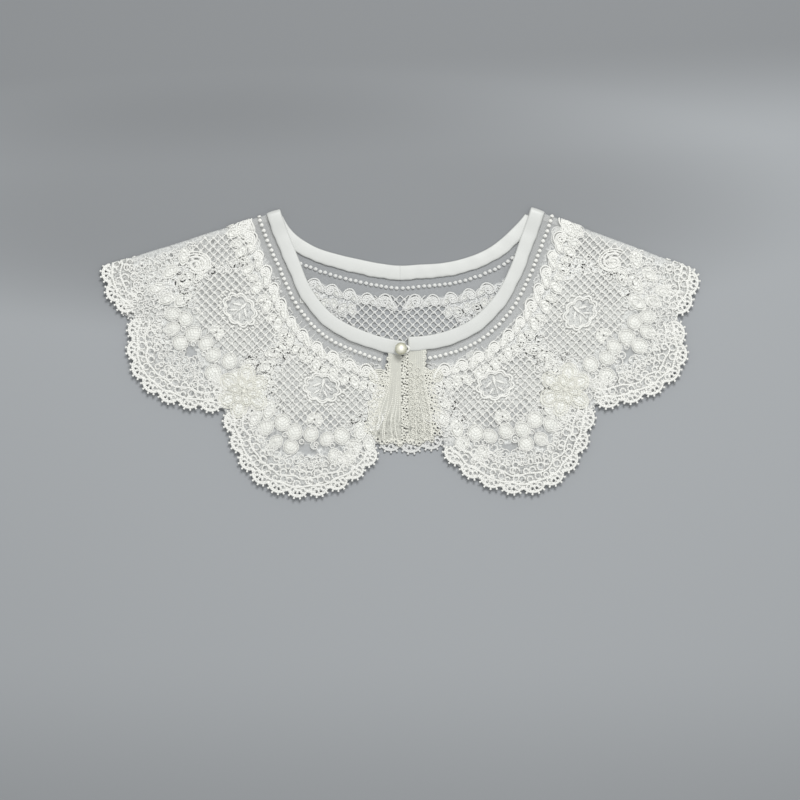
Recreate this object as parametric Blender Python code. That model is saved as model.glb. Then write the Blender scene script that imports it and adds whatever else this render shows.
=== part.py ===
"""Embroidered organza cape collar, laid flat and folded at both shoulders.

The back half lies on the table with its wrong side up, and the two front halves
lie on it. Plan positions are worked out in millimetres round the point where the
two shoulder folds would meet, because the neck and the hem are nearly arcs about
it: an angle of 0 points straight down the front, and +X is the viewer's right.
Heights are millimetres above the table.
"""

from collections import namedtuple
from math import acos, atan2, cos, degrees, pi, radians, sin

import bpy
from mathutils import Vector
from mathutils.geometry import delaunay_2d_cdt

MM = 0.001

# Cloth and layers
WALL = 1.0
SEAM_GAP = 0.3
FRONT_FLOOR = 1.55
RELIEF = 0.7
RELIEF_MARGIN = 0.8
GRID_STEP = 15.0
OUTLINE_STEP = 8.0
ANGLE_STEP = 0.02

# Shoulder folds: a soft roll of cloth, easing down to the flat front
FOLD_RADIUS = 1.4
FOLD_STEPS = 5
FOLD_FLAP = 3.0
FOLD_EASE = 16.0

# Hem: small scallops along the lobes, whose tips stand a little off the table
SCALLOP_PITCH = 15.3
SCALLOP_DEPTH = 2.6
SCALLOP_STEPS = 6
HEM_LIFT = 1.1

# Satin binding round the neck
BINDING_WIDTH = 9.0
BINDING_THICK = 1.35
BACK_BINDING_THICK = 1.15
BINDING_STEPS = 16
BINDING_PROFILE = ((0.0, 0.7), (0.12, 1.0), (0.86, 1.0), (1.0, 0.72))

# Centre front: the edging strips, the button and its loop
EDGING_WIDTH = 11.3
EDGING_RIBS = 4
EDGING_RIB_HEIGHT = 0.6
EDGING_STEPS = 9
EDGING_FOOT = -57.0
LEFT_CENTRE_X = 0.9
RIGHT_CENTRE_X = 5.3
LEFT_BINDING_END_X = 3.7
RIGHT_BINDING_END_X = 5.3
PEARL_RADIUS = 4.0
PEARL_X = 0.65
PEARL_Y = 2.6
SHANK_RADIUS = 1.3
SHANK_HEIGHT = 2.4
LOOP_THREAD = 0.9
LOOP_REACH = 3.2
LOOP_HALF_WIDTH = 2.6

APEX = Vector((0.0, 120.25))

Section = namedtuple("Section", "angle front_neck back_neck")
Lobe = namedtuple("Lobe", "start start_r tip tip_r end end_r fall")
Side = namedtuple("Side", "sign fold_angle fold_offset sections lobes back_lobes medallions")
Medallion = namedtuple("Medallion", "angle radius axis")
Leaf = namedtuple("Leaf", "across out turn length width")
Coil = namedtuple("Coil", "across out radius")
Flower = namedtuple("Flower", "across out turn petals reach length width")

LEFT = Side(
    sign=-1,
    fold_angle=72.35,
    fold_offset=-2.4,
    sections=(
        Section(-4.0, 113.0, 63.7),
        Section(0.0, 112.5, 63.7),
        Section(12.0, 108.9, 63.7),
        Section(24.0, 105.3, 65.3),
        Section(36.0, 97.8, 69.6),
        Section(48.0, 88.7, 76.1),
        Section(60.0, 84.2, 81.5),
        Section(72.0, 82.6, 82.8),
        Section(84.0, 82.6, 82.8),
    ),
    lobes=(
        Lobe(74.0, 201.0, 66.0, 207.4, 61.1, 200.2, 1.0),
        Lobe(61.1, 200.2, 50.6, 219.5, 36.0, 197.0, 1.1),
        Lobe(36.0, 197.0, 21.5, 226.0, 4.1, 184.0, 0.65),
    ),
    back_lobes=(
        Lobe(74.0, 201.0, 63.0, 203.0, 49.0, 178.0, 1.0),
        Lobe(49.0, 178.0, 33.0, 190.0, 17.8, 160.0, 1.0),
        Lobe(17.8, 160.0, 0.0, 184.9, -1.0, 184.9, 1.0),
    ),
    medallions=(Medallion(48.4, 139.0, 46.0), Medallion(19.5, 151.7, 13.0)),
)

RIGHT = Side(
    sign=1,
    fold_angle=69.5,
    fold_offset=5.5,
    sections=(
        Section(-4.0, 110.0, 63.7),
        Section(0.0, 109.9, 63.7),
        Section(12.0, 110.6, 64.4),
        Section(24.0, 109.3, 67.9),
        Section(36.0, 104.0, 72.6),
        Section(48.0, 96.5, 78.0),
        Section(60.0, 90.7, 82.5),
        Section(72.0, 89.1, 87.6),
        Section(84.0, 89.1, 89.1),
    ),
    lobes=(
        Lobe(73.0, 203.0, 65.5, 209.5, 61.8, 207.0, 1.0),
        Lobe(61.8, 207.0, 53.8, 225.5, 39.2, 202.0, 1.0),
        Lobe(39.2, 202.0, 25.0, 229.5, 8.1, 185.0, 0.8),
    ),
    back_lobes=(
        Lobe(73.0, 203.0, 64.0, 203.0, 52.0, 180.0, 1.0),
        Lobe(52.0, 180.0, 37.0, 190.0, 22.8, 164.0, 1.0),
        Lobe(22.8, 164.0, 2.5, 185.5, 0.0, 184.9, 1.0),
    ),
    medallions=(Medallion(51.1, 150.2, 46.0), Medallion(23.6, 154.0, 13.0)),
)

# Embroidery of one lobe, measured from the middle of its medallion: across
# towards the shoulder, out towards the hem. Every leaf also has its mirror.
LEAVES = (
    Leaf(30.5, 22.0, 5.0, 14.0, 8.5),
    Leaf(38.5, 13.0, -12.0, 14.0, 8.5),
    Leaf(31.0, 4.0, -30.0, 13.0, 8.0),
    Leaf(37.5, -5.0, -50.0, 12.0, 7.5),
    Leaf(38.0, 29.0, 20.0, 12.0, 7.5),
    Leaf(21.5, 11.5, -55.0, 8.5, 5.0),
    Leaf(23.0, -8.0, -15.0, 8.5, 4.5),
    Leaf(2.4, 20.5, 25.0, 9.0, 5.0),
    Leaf(22.0, 42.5, 55.0, 8.5, 4.5),
)
FLOWERS = (
    Flower(-15.0, 30.5, 10.0, 5, 7.2, 9.6, 7.0),
    Flower(12.5, 35.5, -14.0, 5, 7.2, 9.6, 7.0),
)
# Further embroidery between the outer medallion and the shoulder fold.
SHOULDER_FLOWER = Flower(32.0, -21.5, 0.0, 5, 6.6, 8.8, 6.4)
SHOULDER_COIL = Coil(38.5, -6.0, 6.4)
SHOULDER_LEAVES = (
    Leaf(50.0, 2.0, -35.0, 12.0, 7.5),
    Leaf(49.0, 15.0, 0.0, 12.0, 7.5),
    Leaf(47.5, 29.0, 20.0, 11.0, 7.0),
)
MEDALLION_ACROSS = 12.5
MEDALLION_OUT = 9.5
MEDALLION_SCALLOPS = 9
MEDALLION_CORD = 1.6
SPRIG = (
    Leaf(0.0, -3.4, 0.0, 4.6, 2.6),
    Leaf(3.8, -1.0, 60.0, 4.6, 2.4),
    Leaf(2.6, 3.2, 45.0, 4.0, 2.2),
)

# Scrolls along the neck, two corded lines of the border and a coil in each scallop
SCROLL_DEPTH = 17.0
SCROLL_RADIUS = 4.9
SCROLL_PITCH = 12.6
SCROLL_START = 11.0
BACK_SCROLL_DEPTH = 14.5
BORDER_LINES = (18.0, 13.2)
BORDER_CORD = 1.7
BORDER_STEP = 8.0
BORDER_MARGIN = 1.8
HEM_COIL_DEPTH = 6.3
HEM_COIL_RADIUS = 4.8

BORDER_HOLE = ((115.8, -30.0), (122.6, -29.6), (123.0, -33.6), (118.6, -35.0))

IVORY = (0.83, 0.82, 0.76, 1.0)
SATIN = (0.80, 0.79, 0.75, 1.0)
PEARL = (0.90, 0.88, 0.78, 1.0)


def clear_scene():
    for item in list(bpy.data.objects):
        bpy.data.objects.remove(item, do_unlink=True)


def finish(name, colour, roughness):
    material = bpy.data.materials.new(name)
    material.use_nodes = True
    shader = material.node_tree.nodes["Principled BSDF"]
    shader.inputs["Base Color"].default_value = colour
    shader.inputs["Roughness"].default_value = roughness
    shader.inputs["Metallic"].default_value = 0.0
    return material


def add_object(name, points, faces, material):
    """An object from points in millimetres and faces that point out."""
    mesh = bpy.data.meshes.new(name)
    mesh.from_pydata([Vector(p) * MM for p in points], [], faces)
    mesh.validate()
    mesh.materials.append(material)
    mesh.shade_smooth()
    mesh.set_sharp_from_angle(angle=radians(35.0))
    item = bpy.data.objects.new(name, mesh)
    bpy.context.collection.objects.link(item)
    return item


# Plan geometry

def smooth_at(rows, column, angle):
    """A value between table rows, by a cubic through its neighbours."""
    for low in range(1, len(rows) - 2):
        if angle <= rows[low + 1].angle:
            break
    before, here, there, after = rows[low - 1: low + 3]
    span = there.angle - here.angle
    t = (angle - here.angle) / span
    first, last = getattr(here, column), getattr(there, column)
    slope_in = (last - getattr(before, column)) / (there.angle - before.angle) * span
    slope_out = (getattr(after, column) - first) / (after.angle - here.angle) * span
    bend = (2 * t**3 - 3 * t**2 + 1) * first + (t**3 - 2 * t**2 + t) * slope_in
    return bend + (3 * t**2 - 2 * t**3) * last + (t**3 - t**2) * slope_out


def plan(side, angle, radius):
    turn = radians(angle)
    return APEX + Vector((side.sign * radius * sin(turn), -radius * cos(turn)))


def neck(side, column, angle, inset=0.0):
    return plan(side, angle, smooth_at(side.sections, column, angle) + inset)


def lobed_radius(lobes, angle):
    """Hem radius before its scallops: each lobe rises and falls as a part sine."""
    for lobe in lobes:
        if angle >= lobe.end:
            break
    if angle >= lobe.tip:
        way = max(0.0, (lobe.start - angle) / (lobe.start - lobe.tip))
        return lobe.start_r + (lobe.tip_r - lobe.start_r) * sin(pi / 2 * way)
    way = max(0.0, (angle - lobe.end) / (lobe.tip - lobe.end))
    return lobe.end_r + (lobe.tip_r - lobe.end_r) * sin(pi / 2 * way) ** lobe.fall


def fold_normal(side):
    turn = radians(side.fold_angle)
    return Vector((side.sign * cos(turn), sin(turn)))


def past_fold(side, point):
    """Distance of a plan point beyond the line where the cloth starts to roll."""
    roll = FOLD_RADIUS + WALL / 2
    return (point - APEX).dot(fold_normal(side)) - (side.fold_offset - roll)


def angle_at_fold(side, curve, beyond=0.0):
    """The angle at which a curve of angle reaches a line beside the fold."""
    low, high = 40.0, 84.0
    for _ in range(40):
        middle = (low + high) / 2
        if past_fold(side, curve(middle)) < beyond:
            low = middle
        else:
            high = middle
    return low


def stepped(start, stop, curve, step):
    """Points of a curve at about even steps, both ends kept."""
    rough = [curve(start + (stop - start) * i / 60) for i in range(61)]
    length = sum((b - a).length for a, b in zip(rough, rough[1:]))
    count = max(2, round(length / step))
    return [curve(start + (stop - start) * i / count) for i in range(count + 1)]


def scalloped_hem(side, lobes, start, stop):
    """The hem from one angle to another, with a small scallop every pitch."""
    count = 360
    angles = [start + (stop - start) * i / count for i in range(count + 1)]
    points = [plan(side, a, lobed_radius(lobes, a)) for a in angles]
    run = [0.0]
    for a, b in zip(points, points[1:]):
        run.append(run[-1] + (b - a).length)
    scallops = round(run[-1] / SCALLOP_PITCH)
    steps = scallops * SCALLOP_STEPS
    hem = []
    k = 0
    for i in range(steps + 1):
        want = run[-1] * i / steps
        while k < count - 1 and run[k + 1] < want:
            k += 1
        t = (want - run[k]) / (run[k + 1] - run[k])
        angle = angles[k] + (angles[k + 1] - angles[k]) * t
        bulge = abs(sin(pi * i / SCALLOP_STEPS)) ** 0.7
        radius = lobed_radius(lobes, angle) + SCALLOP_DEPTH * (bulge - 0.7)
        hem.append(plan(side, angle, radius))
    return hem


# Heights

def ease(t):
    t = min(1.0, max(0.0, t))
    return t * t * (3 - 2 * t)


def front_bottom(side, point):
    """Underside of a front half: flat, higher by the fold and at the lobe tips."""
    inside = -past_fold(side, point)
    roll = (2 * FOLD_RADIUS - FRONT_FLOOR) * (1 - ease(inside / FOLD_EASE))
    arm = point - APEX
    angle = degrees(atan2(side.sign * arm.x, -arm.y))
    rim = lobed_radius(side.lobes, max(side.lobes[-1].end, angle))
    lift = HEM_LIFT * ease((arm.length / rim - 0.82) / 0.18) * ease(inside / FOLD_EASE)
    return FRONT_FLOOR + roll + lift


def front_point(side, point, height):
    """Place a plan point of a front half, rolled under past the fold."""
    beyond = past_fold(side, point)
    if beyond <= 0.0:
        return (point.x, point.y, front_bottom(side, point) + height)
    normal = fold_normal(side)
    foot = point - normal * beyond
    half_turn = pi * FOLD_RADIUS
    arm = FOLD_RADIUS + height - WALL / 2
    if beyond < half_turn:
        turn = beyond / FOLD_RADIUS
        foot = foot + normal * (arm * sin(turn))
        return (foot.x, foot.y, max(0.0, WALL / 2 + FOLD_RADIUS + arm * cos(turn)))
    foot = foot - normal * (beyond - half_turn)
    return (foot.x, foot.y, max(0.0, WALL / 2 + FOLD_RADIUS - arm))


def back_point(point, height):
    return (point.x, point.y, height)


# Walls with raised embroidery

Shape = namedtuple("Shape", "outline points edges hollow")


def inside_polygon(point, polygon):
    inside = False
    for a, b in zip(polygon, polygon[1:] + polygon[:1]):
        if (a.y > point.y) != (b.y > point.y):
            if point.x < a.x + (point.y - a.y) * (b.x - a.x) / (b.y - a.y):
                inside = not inside
    return inside


def distance_to(point, polygon):
    best = 1e9
    for a, b in zip(polygon, polygon[1:] + polygon[:1]):
        run = b - a
        t = min(1.0, max(0.0, (point - a).dot(run) / max(run.length_squared, 1e-12)))
        best = min(best, (point - a - run * t).length)
    return best


def ring_edges(first, count):
    return [(first + i, first + (i + 1) % count) for i in range(count)]


def leaf_shape(centre, axis, length, width):
    """A pointed leaf with a raised midrib."""
    cross = Vector((-axis.y, axis.x))
    profile = ((-0.5, 0.0), (-0.2, 0.5), (0.22, 0.46), (0.5, 0.0), (0.22, -0.46), (-0.2, -0.5))
    outline = [centre + axis * (u * length) + cross * (v * width) for u, v in profile]
    ridge = [centre + axis * (u * length) for u in (-0.2, 0.24)]
    points = [(p, 0.0) for p in outline] + [(p, RELIEF) for p in ridge]
    return Shape(outline, points, ring_edges(0, 6) + [(6, 7)], False)


def scroll_shape(centre, radius):
    """A coiled scroll: a raised ring round a lower middle."""
    count = 8
    turns = [2 * pi * i / count for i in range(count)]
    outer = [centre + Vector((cos(t), sin(t))) * radius for t in turns]
    crest = [centre + Vector((cos(t), sin(t))) * (radius * 0.62) for t in turns]
    points = [(p, 0.0) for p in outer] + [(p, RELIEF) for p in crest] + [(centre, 0.1)]
    return Shape(outer, points, ring_edges(0, count) + ring_edges(count, count), False)


def cord_shape(path, width, closed=False):
    """A raised cord along a path: a crest between two feet."""
    points = []
    count = len(path)
    for i, here in enumerate(path):
        ahead = path[(i + 1) % count] if closed or i < count - 1 else here
        behind = path[i - 1] if closed or i > 0 else here
        run = (ahead - behind).normalized()
        cross = Vector((-run.y, run.x)) * (width / 2)
        points += [(here + cross, 0.0), (here, RELIEF), (here - cross, 0.0)]
    spans = count if closed else count - 1
    edges = []
    for row in range(3):
        for i in range(spans):
            edges.append((3 * i + row, 3 * ((i + 1) % count) + row))
    feet = [p for p, _ in points[0::3]], [p for p, _ in points[2::3]]
    outline = feet[0] + feet[1][::-1]
    if closed:
        outline = max(feet, key=lambda foot: abs(signed_area(foot)))
    else:
        edges += [(0, 1), (1, 2), (3 * count - 3, 3 * count - 2), (3 * count - 2, 3 * count - 1)]
    return Shape(outline, points, edges, closed)


def lobe_axes(side, medallion):
    turn = radians(medallion.axis)
    out = Vector((side.sign * sin(turn), -cos(turn)))
    across = Vector((side.sign * cos(turn), sin(turn)))
    return plan(side, medallion.angle, medallion.radius), across, out


def leaf_at(side, medallion, leaf, mirror=1):
    centre, across, out = lobe_axes(side, medallion)
    turn = radians(leaf.turn) * mirror
    axis = out * cos(turn) + across * sin(turn)
    middle = centre + across * (leaf.across * mirror) + out * leaf.out
    return leaf_shape(middle, axis, leaf.length, leaf.width)


def flower_shapes(side, medallion, flower):
    shapes = []
    for i in range(flower.petals):
        turn = flower.turn + 360.0 * i / flower.petals
        petal = Leaf(
            flower.across + flower.reach * sin(radians(turn)),
            flower.out + flower.reach * cos(radians(turn)),
            turn,
            flower.length,
            flower.width,
        )
        shapes.append(leaf_at(side, medallion, petal))
    return shapes


def medallion_shapes(side, medallion):
    """The scalloped frame of a medallion and the sprig inside it."""
    centre, across, out = lobe_axes(side, medallion)
    count = 2 * MEDALLION_SCALLOPS
    frame = []
    for i in range(count):
        turn = 2 * pi * i / count
        wave = 1.0 if i % 2 else 0.82
        frame.append(
            centre
            + across * (MEDALLION_ACROSS * wave * cos(turn))
            + out * (MEDALLION_OUT * wave * sin(turn))
        )
    sprig = [leaf_at(side, medallion, leaf) for leaf in SPRIG]
    sprig += [leaf_at(side, medallion, leaf, -1) for leaf in SPRIG[1:]]
    return sprig + [cord_shape(frame, MEDALLION_CORD, closed=True)]


def shoulder_shapes(side):
    medallion = side.medallions[0]
    centre, across, out = lobe_axes(side, medallion)
    spot = centre + across * SHOULDER_COIL.across + out * SHOULDER_COIL.out
    shapes = [scroll_shape(spot, SHOULDER_COIL.radius)]
    shapes += flower_shapes(side, medallion, SHOULDER_FLOWER)
    return shapes + [leaf_at(side, medallion, leaf) for leaf in SHOULDER_LEAVES]


def lobe_shapes(side, medallion):
    shapes = medallion_shapes(side, medallion)
    for flower in FLOWERS:
        shapes += flower_shapes(side, medallion, flower)
    for leaf in LEAVES:
        shapes.append(leaf_at(side, medallion, leaf))
        shapes.append(leaf_at(side, medallion, leaf, -1))
    return shapes


def scroll_chain(side, column, depth, stop):
    """Scrolls side by side along the neck, at an even depth below it."""
    path = stepped(2.0, stop, lambda a: neck(side, column, a, BINDING_WIDTH + depth), 1.0)
    shapes = []
    run = SCROLL_PITCH - SCROLL_START
    for a, b in zip(path, path[1:]):
        run += (b - a).length
        if run >= SCROLL_PITCH:
            run -= SCROLL_PITCH
            shapes.append(scroll_shape(b, SCROLL_RADIUS))
    return shapes


def border_cords(side):
    """The corded lines that follow the hem through each lobe."""
    shapes = []
    for lobe in side.lobes[1:]:
        for depth in BORDER_LINES:
            path = stepped(
                lobe.start - BORDER_MARGIN,
                lobe.end + BORDER_MARGIN,
                lambda a: plan(side, a, lobed_radius((lobe,), a) - depth),
                BORDER_STEP,
            )
            shapes.append(cord_shape(path, BORDER_CORD))
    return shapes


def hem_coils(hem):
    """A raised coil in each scallop of the hem."""
    shapes = []
    for first in range(0, len(hem) - 1, SCALLOP_STEPS):
        run = (hem[first + SCALLOP_STEPS] - hem[first]).normalized()
        inward = Vector((-run.y, run.x))
        tip = hem[first + SCALLOP_STEPS // 2]
        if inward.dot(APEX - tip) < 0:
            inward = -inward
        shapes.append(scroll_shape(tip + inward * HEM_COIL_DEPTH, HEM_COIL_RADIUS))
    return shapes


def clear_shapes(shapes, polygon, holes):
    """Drop a shape that would cross the panel's edge, a hole or an earlier shape."""
    kept = []
    for shape in shapes:
        spots = [p for p, _ in shape.points]
        if any(not inside_polygon(p, polygon) for p in spots):
            continue
        if any(distance_to(p, polygon) < RELIEF_MARGIN for p in shape.outline):
            continue
        if any(distance_to(p, hole) < RELIEF_MARGIN for hole in holes for p in spots):
            continue
        if any(shapes_meet(shape, other) for other in kept):
            continue
        kept.append(shape)
    return kept


def shapes_meet(first, second):
    if not second.hollow and any(inside_polygon(p, second.outline) for p in first.outline):
        return True
    if not first.hollow and any(inside_polygon(p, first.outline) for p in second.outline):
        return True
    reach = RELIEF_MARGIN / 2 + (MEDALLION_CORD if first.hollow or second.hollow else 0.0)
    return any(distance_to(p, second.outline) < reach for p in first.outline) or any(
        distance_to(p, first.outline) < reach for p in second.outline
    )


def grid_points(polygon, holes, taken, step):
    """Points inside a panel, clear of everything else, that let it bend."""
    xs = [p.x for p in polygon]
    ys = [p.y for p in polygon]
    found = []
    row = 0
    y = min(ys) + step / 2
    while y < max(ys):
        x = min(xs) + step * (0.5 if row % 2 else 1.0)
        while x < max(xs):
            spot = Vector((x, y))
            near = any((spot - p).length < step * 0.35 for p in taken)
            if not near and inside_polygon(spot, polygon) and distance_to(spot, polygon) > 2.5:
                if not any(inside_polygon(spot, hole) for hole in holes):
                    found.append(spot)
            x += step
        y += step * 0.87
        row += 1
    return found


def triangulate(polygon, holes, shapes, extra):
    """Triangles over a polygon, with its holes, shapes and extra points built in."""
    spots, lifts, edges = [], [], []
    for loop in [polygon] + holes:
        edges += ring_edges(len(spots), len(loop))
        spots += loop
        lifts += [0.0] * len(loop)
    for shape in shapes:
        edges += [(a + len(spots), b + len(spots)) for a, b in shape.edges]
        spots += [p for p, _ in shape.points]
        lifts += [lift for _, lift in shape.points]
    lifts += [0.0] * len(extra)
    spots += extra
    found, _, faces, origin, _, _ = delaunay_2d_cdt(spots, edges, [], 0, 1e-5, True)
    heights = [max((lifts[k] for k in ids), default=0.0) for ids in origin]
    kept = []
    for face in faces:
        middle = sum((found[k] for k in face), Vector((0.0, 0.0))) / len(face)
        if inside_polygon(middle, polygon) and not any(inside_polygon(middle, h) for h in holes):
            kept.append(list(face))
    return found, heights, origin, kept


def wall(name, polygon, holes, shapes, place, material):
    """A cloth wall: a raised top, a plain underside and closed edges."""
    shapes = clear_shapes(shapes, polygon, holes)
    taken = [p for shape in shapes for p, _ in shape.points]
    extra = grid_points(polygon, holes, taken, GRID_STEP)
    loops = [p for loop in [polygon] + holes for p in loop]
    top, heights, top_ids, top_faces = triangulate(polygon, holes, shapes, extra)
    under, _, under_ids, under_faces = triangulate(
        polygon, holes, [], grid_points(polygon, holes, [], GRID_STEP)
    )
    points = [place(p, WALL + h) for p, h in zip(top, heights)]
    points += [place(p, 0.0) for p in under]
    faces = [up(face, top) for face in top_faces]
    faces += [[k + len(top) for k in up(face, under)][::-1] for face in under_faces]
    top_of = {k: i for i, ids in enumerate(top_ids) for k in ids if k < len(loops)}
    under_of = {k: i + len(top) for i, ids in enumerate(under_ids) for k in ids if k < len(loops)}
    first = 0
    for number, loop in enumerate([polygon] + holes):
        turned = signed_area(loop) < 0
        for a, b in ring_edges(first, len(loop)):
            if turned != bool(number):
                a, b = b, a
            faces.append([under_of[a], under_of[b], top_of[b], top_of[a]])
        first += len(loop)
    return add_object(name, points, faces, material)


def up(face, spots):
    a, b, c = (spots[k] for k in face[:3])
    turn = (b - a).cross(c - a)
    return face if turn > 0 else face[::-1]


def signed_area(loop):
    return sum(a.x * b.y - b.x * a.y for a, b in zip(loop, loop[1:] + loop[:1])) / 2


# Pieces

def roll_rows():
    """Distances past the fold line at which the roll gets a row of points."""
    half_turn = pi * FOLD_RADIUS
    return [half_turn * (i + 1) / FOLD_STEPS for i in range(FOLD_STEPS)] + [half_turn + FOLD_FLAP]


def hem_start(side):
    return angle_at_fold(side, lambda a: plan(side, a, lobed_radius(side.lobes, a)))


def front_outline(side):
    """Neck from centre front to the fold, round the roll, hem back, centre edge."""
    reach = BINDING_WIDTH + SEAM_GAP
    centre = LEFT_CENTRE_X - EDGING_WIDTH if side.sign < 0 else RIGHT_CENTRE_X + EDGING_WIDTH
    centre += side.sign * SEAM_GAP

    def cloth_edge(angle):
        return neck(side, "front_neck", angle, reach)

    start = 0.0
    while side.sign * (cloth_edge(start).x - centre) < 0:
        start += ANGLE_STEP
    stop = angle_at_fold(side, cloth_edge)
    outline = stepped(start, stop, cloth_edge, OUTLINE_STEP)
    normal = fold_normal(side)
    neck_end = outline[-1]
    outline += [neck_end + normal * row for row in roll_rows()]
    hem = scalloped_hem(side, side.lobes, hem_start(side), side.lobes[-1].end)
    hem[0] -= normal * past_fold(side, hem[0])
    outline += [hem[0] + normal * row for row in roll_rows()[::-1]]
    return outline + hem + [Vector((centre, EDGING_FOOT))]


def front_shapes(side):
    hem = scalloped_hem(side, side.lobes, hem_start(side), side.lobes[-1].end)
    shapes = hem_coils(hem) + border_cords(side) + shoulder_shapes(side)
    for medallion in side.medallions:
        shapes += lobe_shapes(side, medallion)
    return shapes + scroll_chain(side, "front_neck", SCROLL_DEPTH, 68.0)


def build_front(name, side, material):
    outline = front_outline(side)
    holes = [[Vector(p) for p in BORDER_HOLE]] if side.sign > 0 else []
    shapes = front_shapes(side)
    shapes = [s for s in shapes if all(past_fold(side, p) < -1.0 for p in s.outline)]
    return wall(name, outline, holes, shapes, lambda p, h: front_point(side, p, h), material)


def back_outline():
    """Neck from the left seam to the right one, then the hem back."""
    reach = BINDING_WIDTH + SEAM_GAP
    beside = -(FOLD_FLAP + SEAM_GAP)
    neck_line, hem_line = [], []
    for side in (LEFT, RIGHT):
        def edge(angle):
            return neck(side, "back_neck", angle, reach)

        def rim(angle):
            return plan(side, angle, lobed_radius(side.back_lobes, angle))

        points = stepped(0.0, angle_at_fold(side, edge, beside), edge, OUTLINE_STEP)
        hem = scalloped_hem(side, side.back_lobes, angle_at_fold(side, rim, beside), 0.0)
        hem[0] -= fold_normal(side) * (past_fold(side, hem[0]) - beside)
        neck_line.append(points)
        hem_line.append(hem)
    left_neck, right_neck = neck_line
    left_hem, right_hem = hem_line
    return left_neck[::-1] + right_neck[1:] + right_hem + left_hem[::-1][1:]


def shows_in_neckline(point):
    """Whether a point of the back half lies inside the front neckline."""
    arm = point - APEX
    side = RIGHT if arm.x > 0 else LEFT
    angle = degrees(atan2(side.sign * arm.x, -arm.y))
    return arm.length < smooth_at(side.sections, "front_neck", angle) - SEAM_GAP


def build_back(material):
    shapes = []
    for side in (LEFT, RIGHT):
        shapes += scroll_chain(side, "back_neck", BACK_SCROLL_DEPTH, 60.0)
    shapes = [s for s in shapes if all(shows_in_neckline(p) for p in s.outline)]
    return wall("back_panel", back_outline(), [], shapes, back_point, material)


def build_strip(name, rows, place, thick, material, profile):
    """A strip along rows of two plan points, with its top heights from a profile."""
    points, faces = [], []
    size = len(profile) + 2
    for inner, outer in rows:
        ring = [place(inner, 0.0), place(outer, 0.0)]
        for across, height in reversed(profile):
            ring.append(place(inner + (outer - inner) * across, height * thick))
        points += ring
    for i in range(len(rows) - 1):
        for k in range(size):
            a, b = i * size + k, i * size + (k + 1) % size
            faces.append([a, b, b + size, a + size])
    last = (len(rows) - 1) * size
    faces.append(list(range(size))[::-1])
    faces.append([last + k for k in range(size)])
    return add_closed(name, points, faces, material)


def add_closed(name, points, faces, material):
    """Add a closed body, turned the right way out."""
    volume = 0.0
    for face in faces:
        a = Vector(points[face[0]])
        for i in range(1, len(face) - 1):
            volume += a.dot(Vector(points[face[i]]).cross(Vector(points[face[i + 1]])))
    if volume < 0:
        faces = [face[::-1] for face in faces]
    return add_object(name, points, faces, material)


def binding_rows(side, column, start, beside):
    """Pairs of points on the binding's two edges, up to a line beside the fold."""

    def inner(angle):
        return neck(side, column, angle)

    def outer(angle):
        return neck(side, column, angle, BINDING_WIDTH)

    inner_span = angle_at_fold(side, inner, beside) - start
    outer_span = angle_at_fold(side, outer, beside) - start
    ways = [i / BINDING_STEPS for i in range(BINDING_STEPS + 1)]
    return [(inner(start + inner_span * t), outer(start + outer_span * t)) for t in ways]


def build_front_binding(name, side, material):
    end_x = LEFT_BINDING_END_X if side.sign < 0 else RIGHT_BINDING_END_X
    start = side.sections[0].angle
    while side.sign * (neck(side, "front_neck", start, BINDING_WIDTH / 2).x - end_x) < 0:
        start += ANGLE_STEP
    rows = binding_rows(side, "front_neck", start, 0.0)
    normal = fold_normal(side)
    inner, outer = rows[-1]
    rows += [(inner + normal * d, outer + normal * d) for d in roll_rows()]
    return build_strip(
        name, rows, lambda p, h: front_point(side, p, h), BINDING_THICK, material, BINDING_PROFILE
    )


def build_back_binding(material):
    beside = -(FOLD_FLAP + SEAM_GAP)
    left, right = (binding_rows(side, "back_neck", 0.0, beside) for side in (LEFT, RIGHT))
    rows = left[::-1] + right[1:]
    return build_strip(
        "binding_back", rows, back_point, BACK_BINDING_THICK, material, BINDING_PROFILE
    )


def build_edging(name, side, material):
    """The gathered strip up one centre-front edge, ribbed along its length."""
    outer_x = LEFT_CENTRE_X if side.sign < 0 else RIGHT_CENTRE_X
    inner_x = outer_x + side.sign * EDGING_WIDTH
    reach = BINDING_WIDTH + SEAM_GAP + 0.2

    def top_y(x):
        angle = degrees(atan2(side.sign * x, APEX.y))
        for _ in range(8):
            angle = degrees(atan2(side.sign * x, APEX.y - neck(side, "front_neck", angle, reach).y))
        return neck(side, "front_neck", angle, reach).y

    profile = [(0.0, 0.8)]
    for rib in range(EDGING_RIBS):
        low, step = rib / EDGING_RIBS, 1.0 / EDGING_RIBS
        profile.append((low + step * 0.5, 1.0 + EDGING_RIB_HEIGHT))
        profile.append((low + step, 0.8 if rib == EDGING_RIBS - 1 else 1.0))
    rows = []
    for i in range(EDGING_STEPS + 1):
        t = i / EDGING_STEPS
        sway = 0.5 * sin(2 * pi * t)
        pair = []
        for x in (outer_x, inner_x):
            y = top_y(x) + (EDGING_FOOT + 1.0 - top_y(x)) * t
            pair.append(Vector((x + (sway if x == outer_x else 0.0), y)))
        rows.append(tuple(pair))
    return build_strip(
        name, rows, lambda p, h: (p.x, p.y, FRONT_FLOOR + h), WALL, material, profile
    )


def build_turned(name, profile, segments, centre, material):
    """A round body from a profile of radius and height, closed at both ends."""
    points, faces = [], []
    for radius, height in profile:
        for i in range(segments):
            turn = 2 * pi * i / segments
            points.append((centre[0] + radius * cos(turn), centre[1] + radius * sin(turn), height))
    for row in range(len(profile) - 1):
        for i in range(segments):
            a, b = row * segments + i, row * segments + (i + 1) % segments
            faces.append([a, b, b + segments, a + segments])
    top = (len(profile) - 1) * segments
    faces.append(list(range(segments))[::-1])
    faces.append([top + i for i in range(segments)])
    return add_closed(name, points, faces, material)


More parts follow.
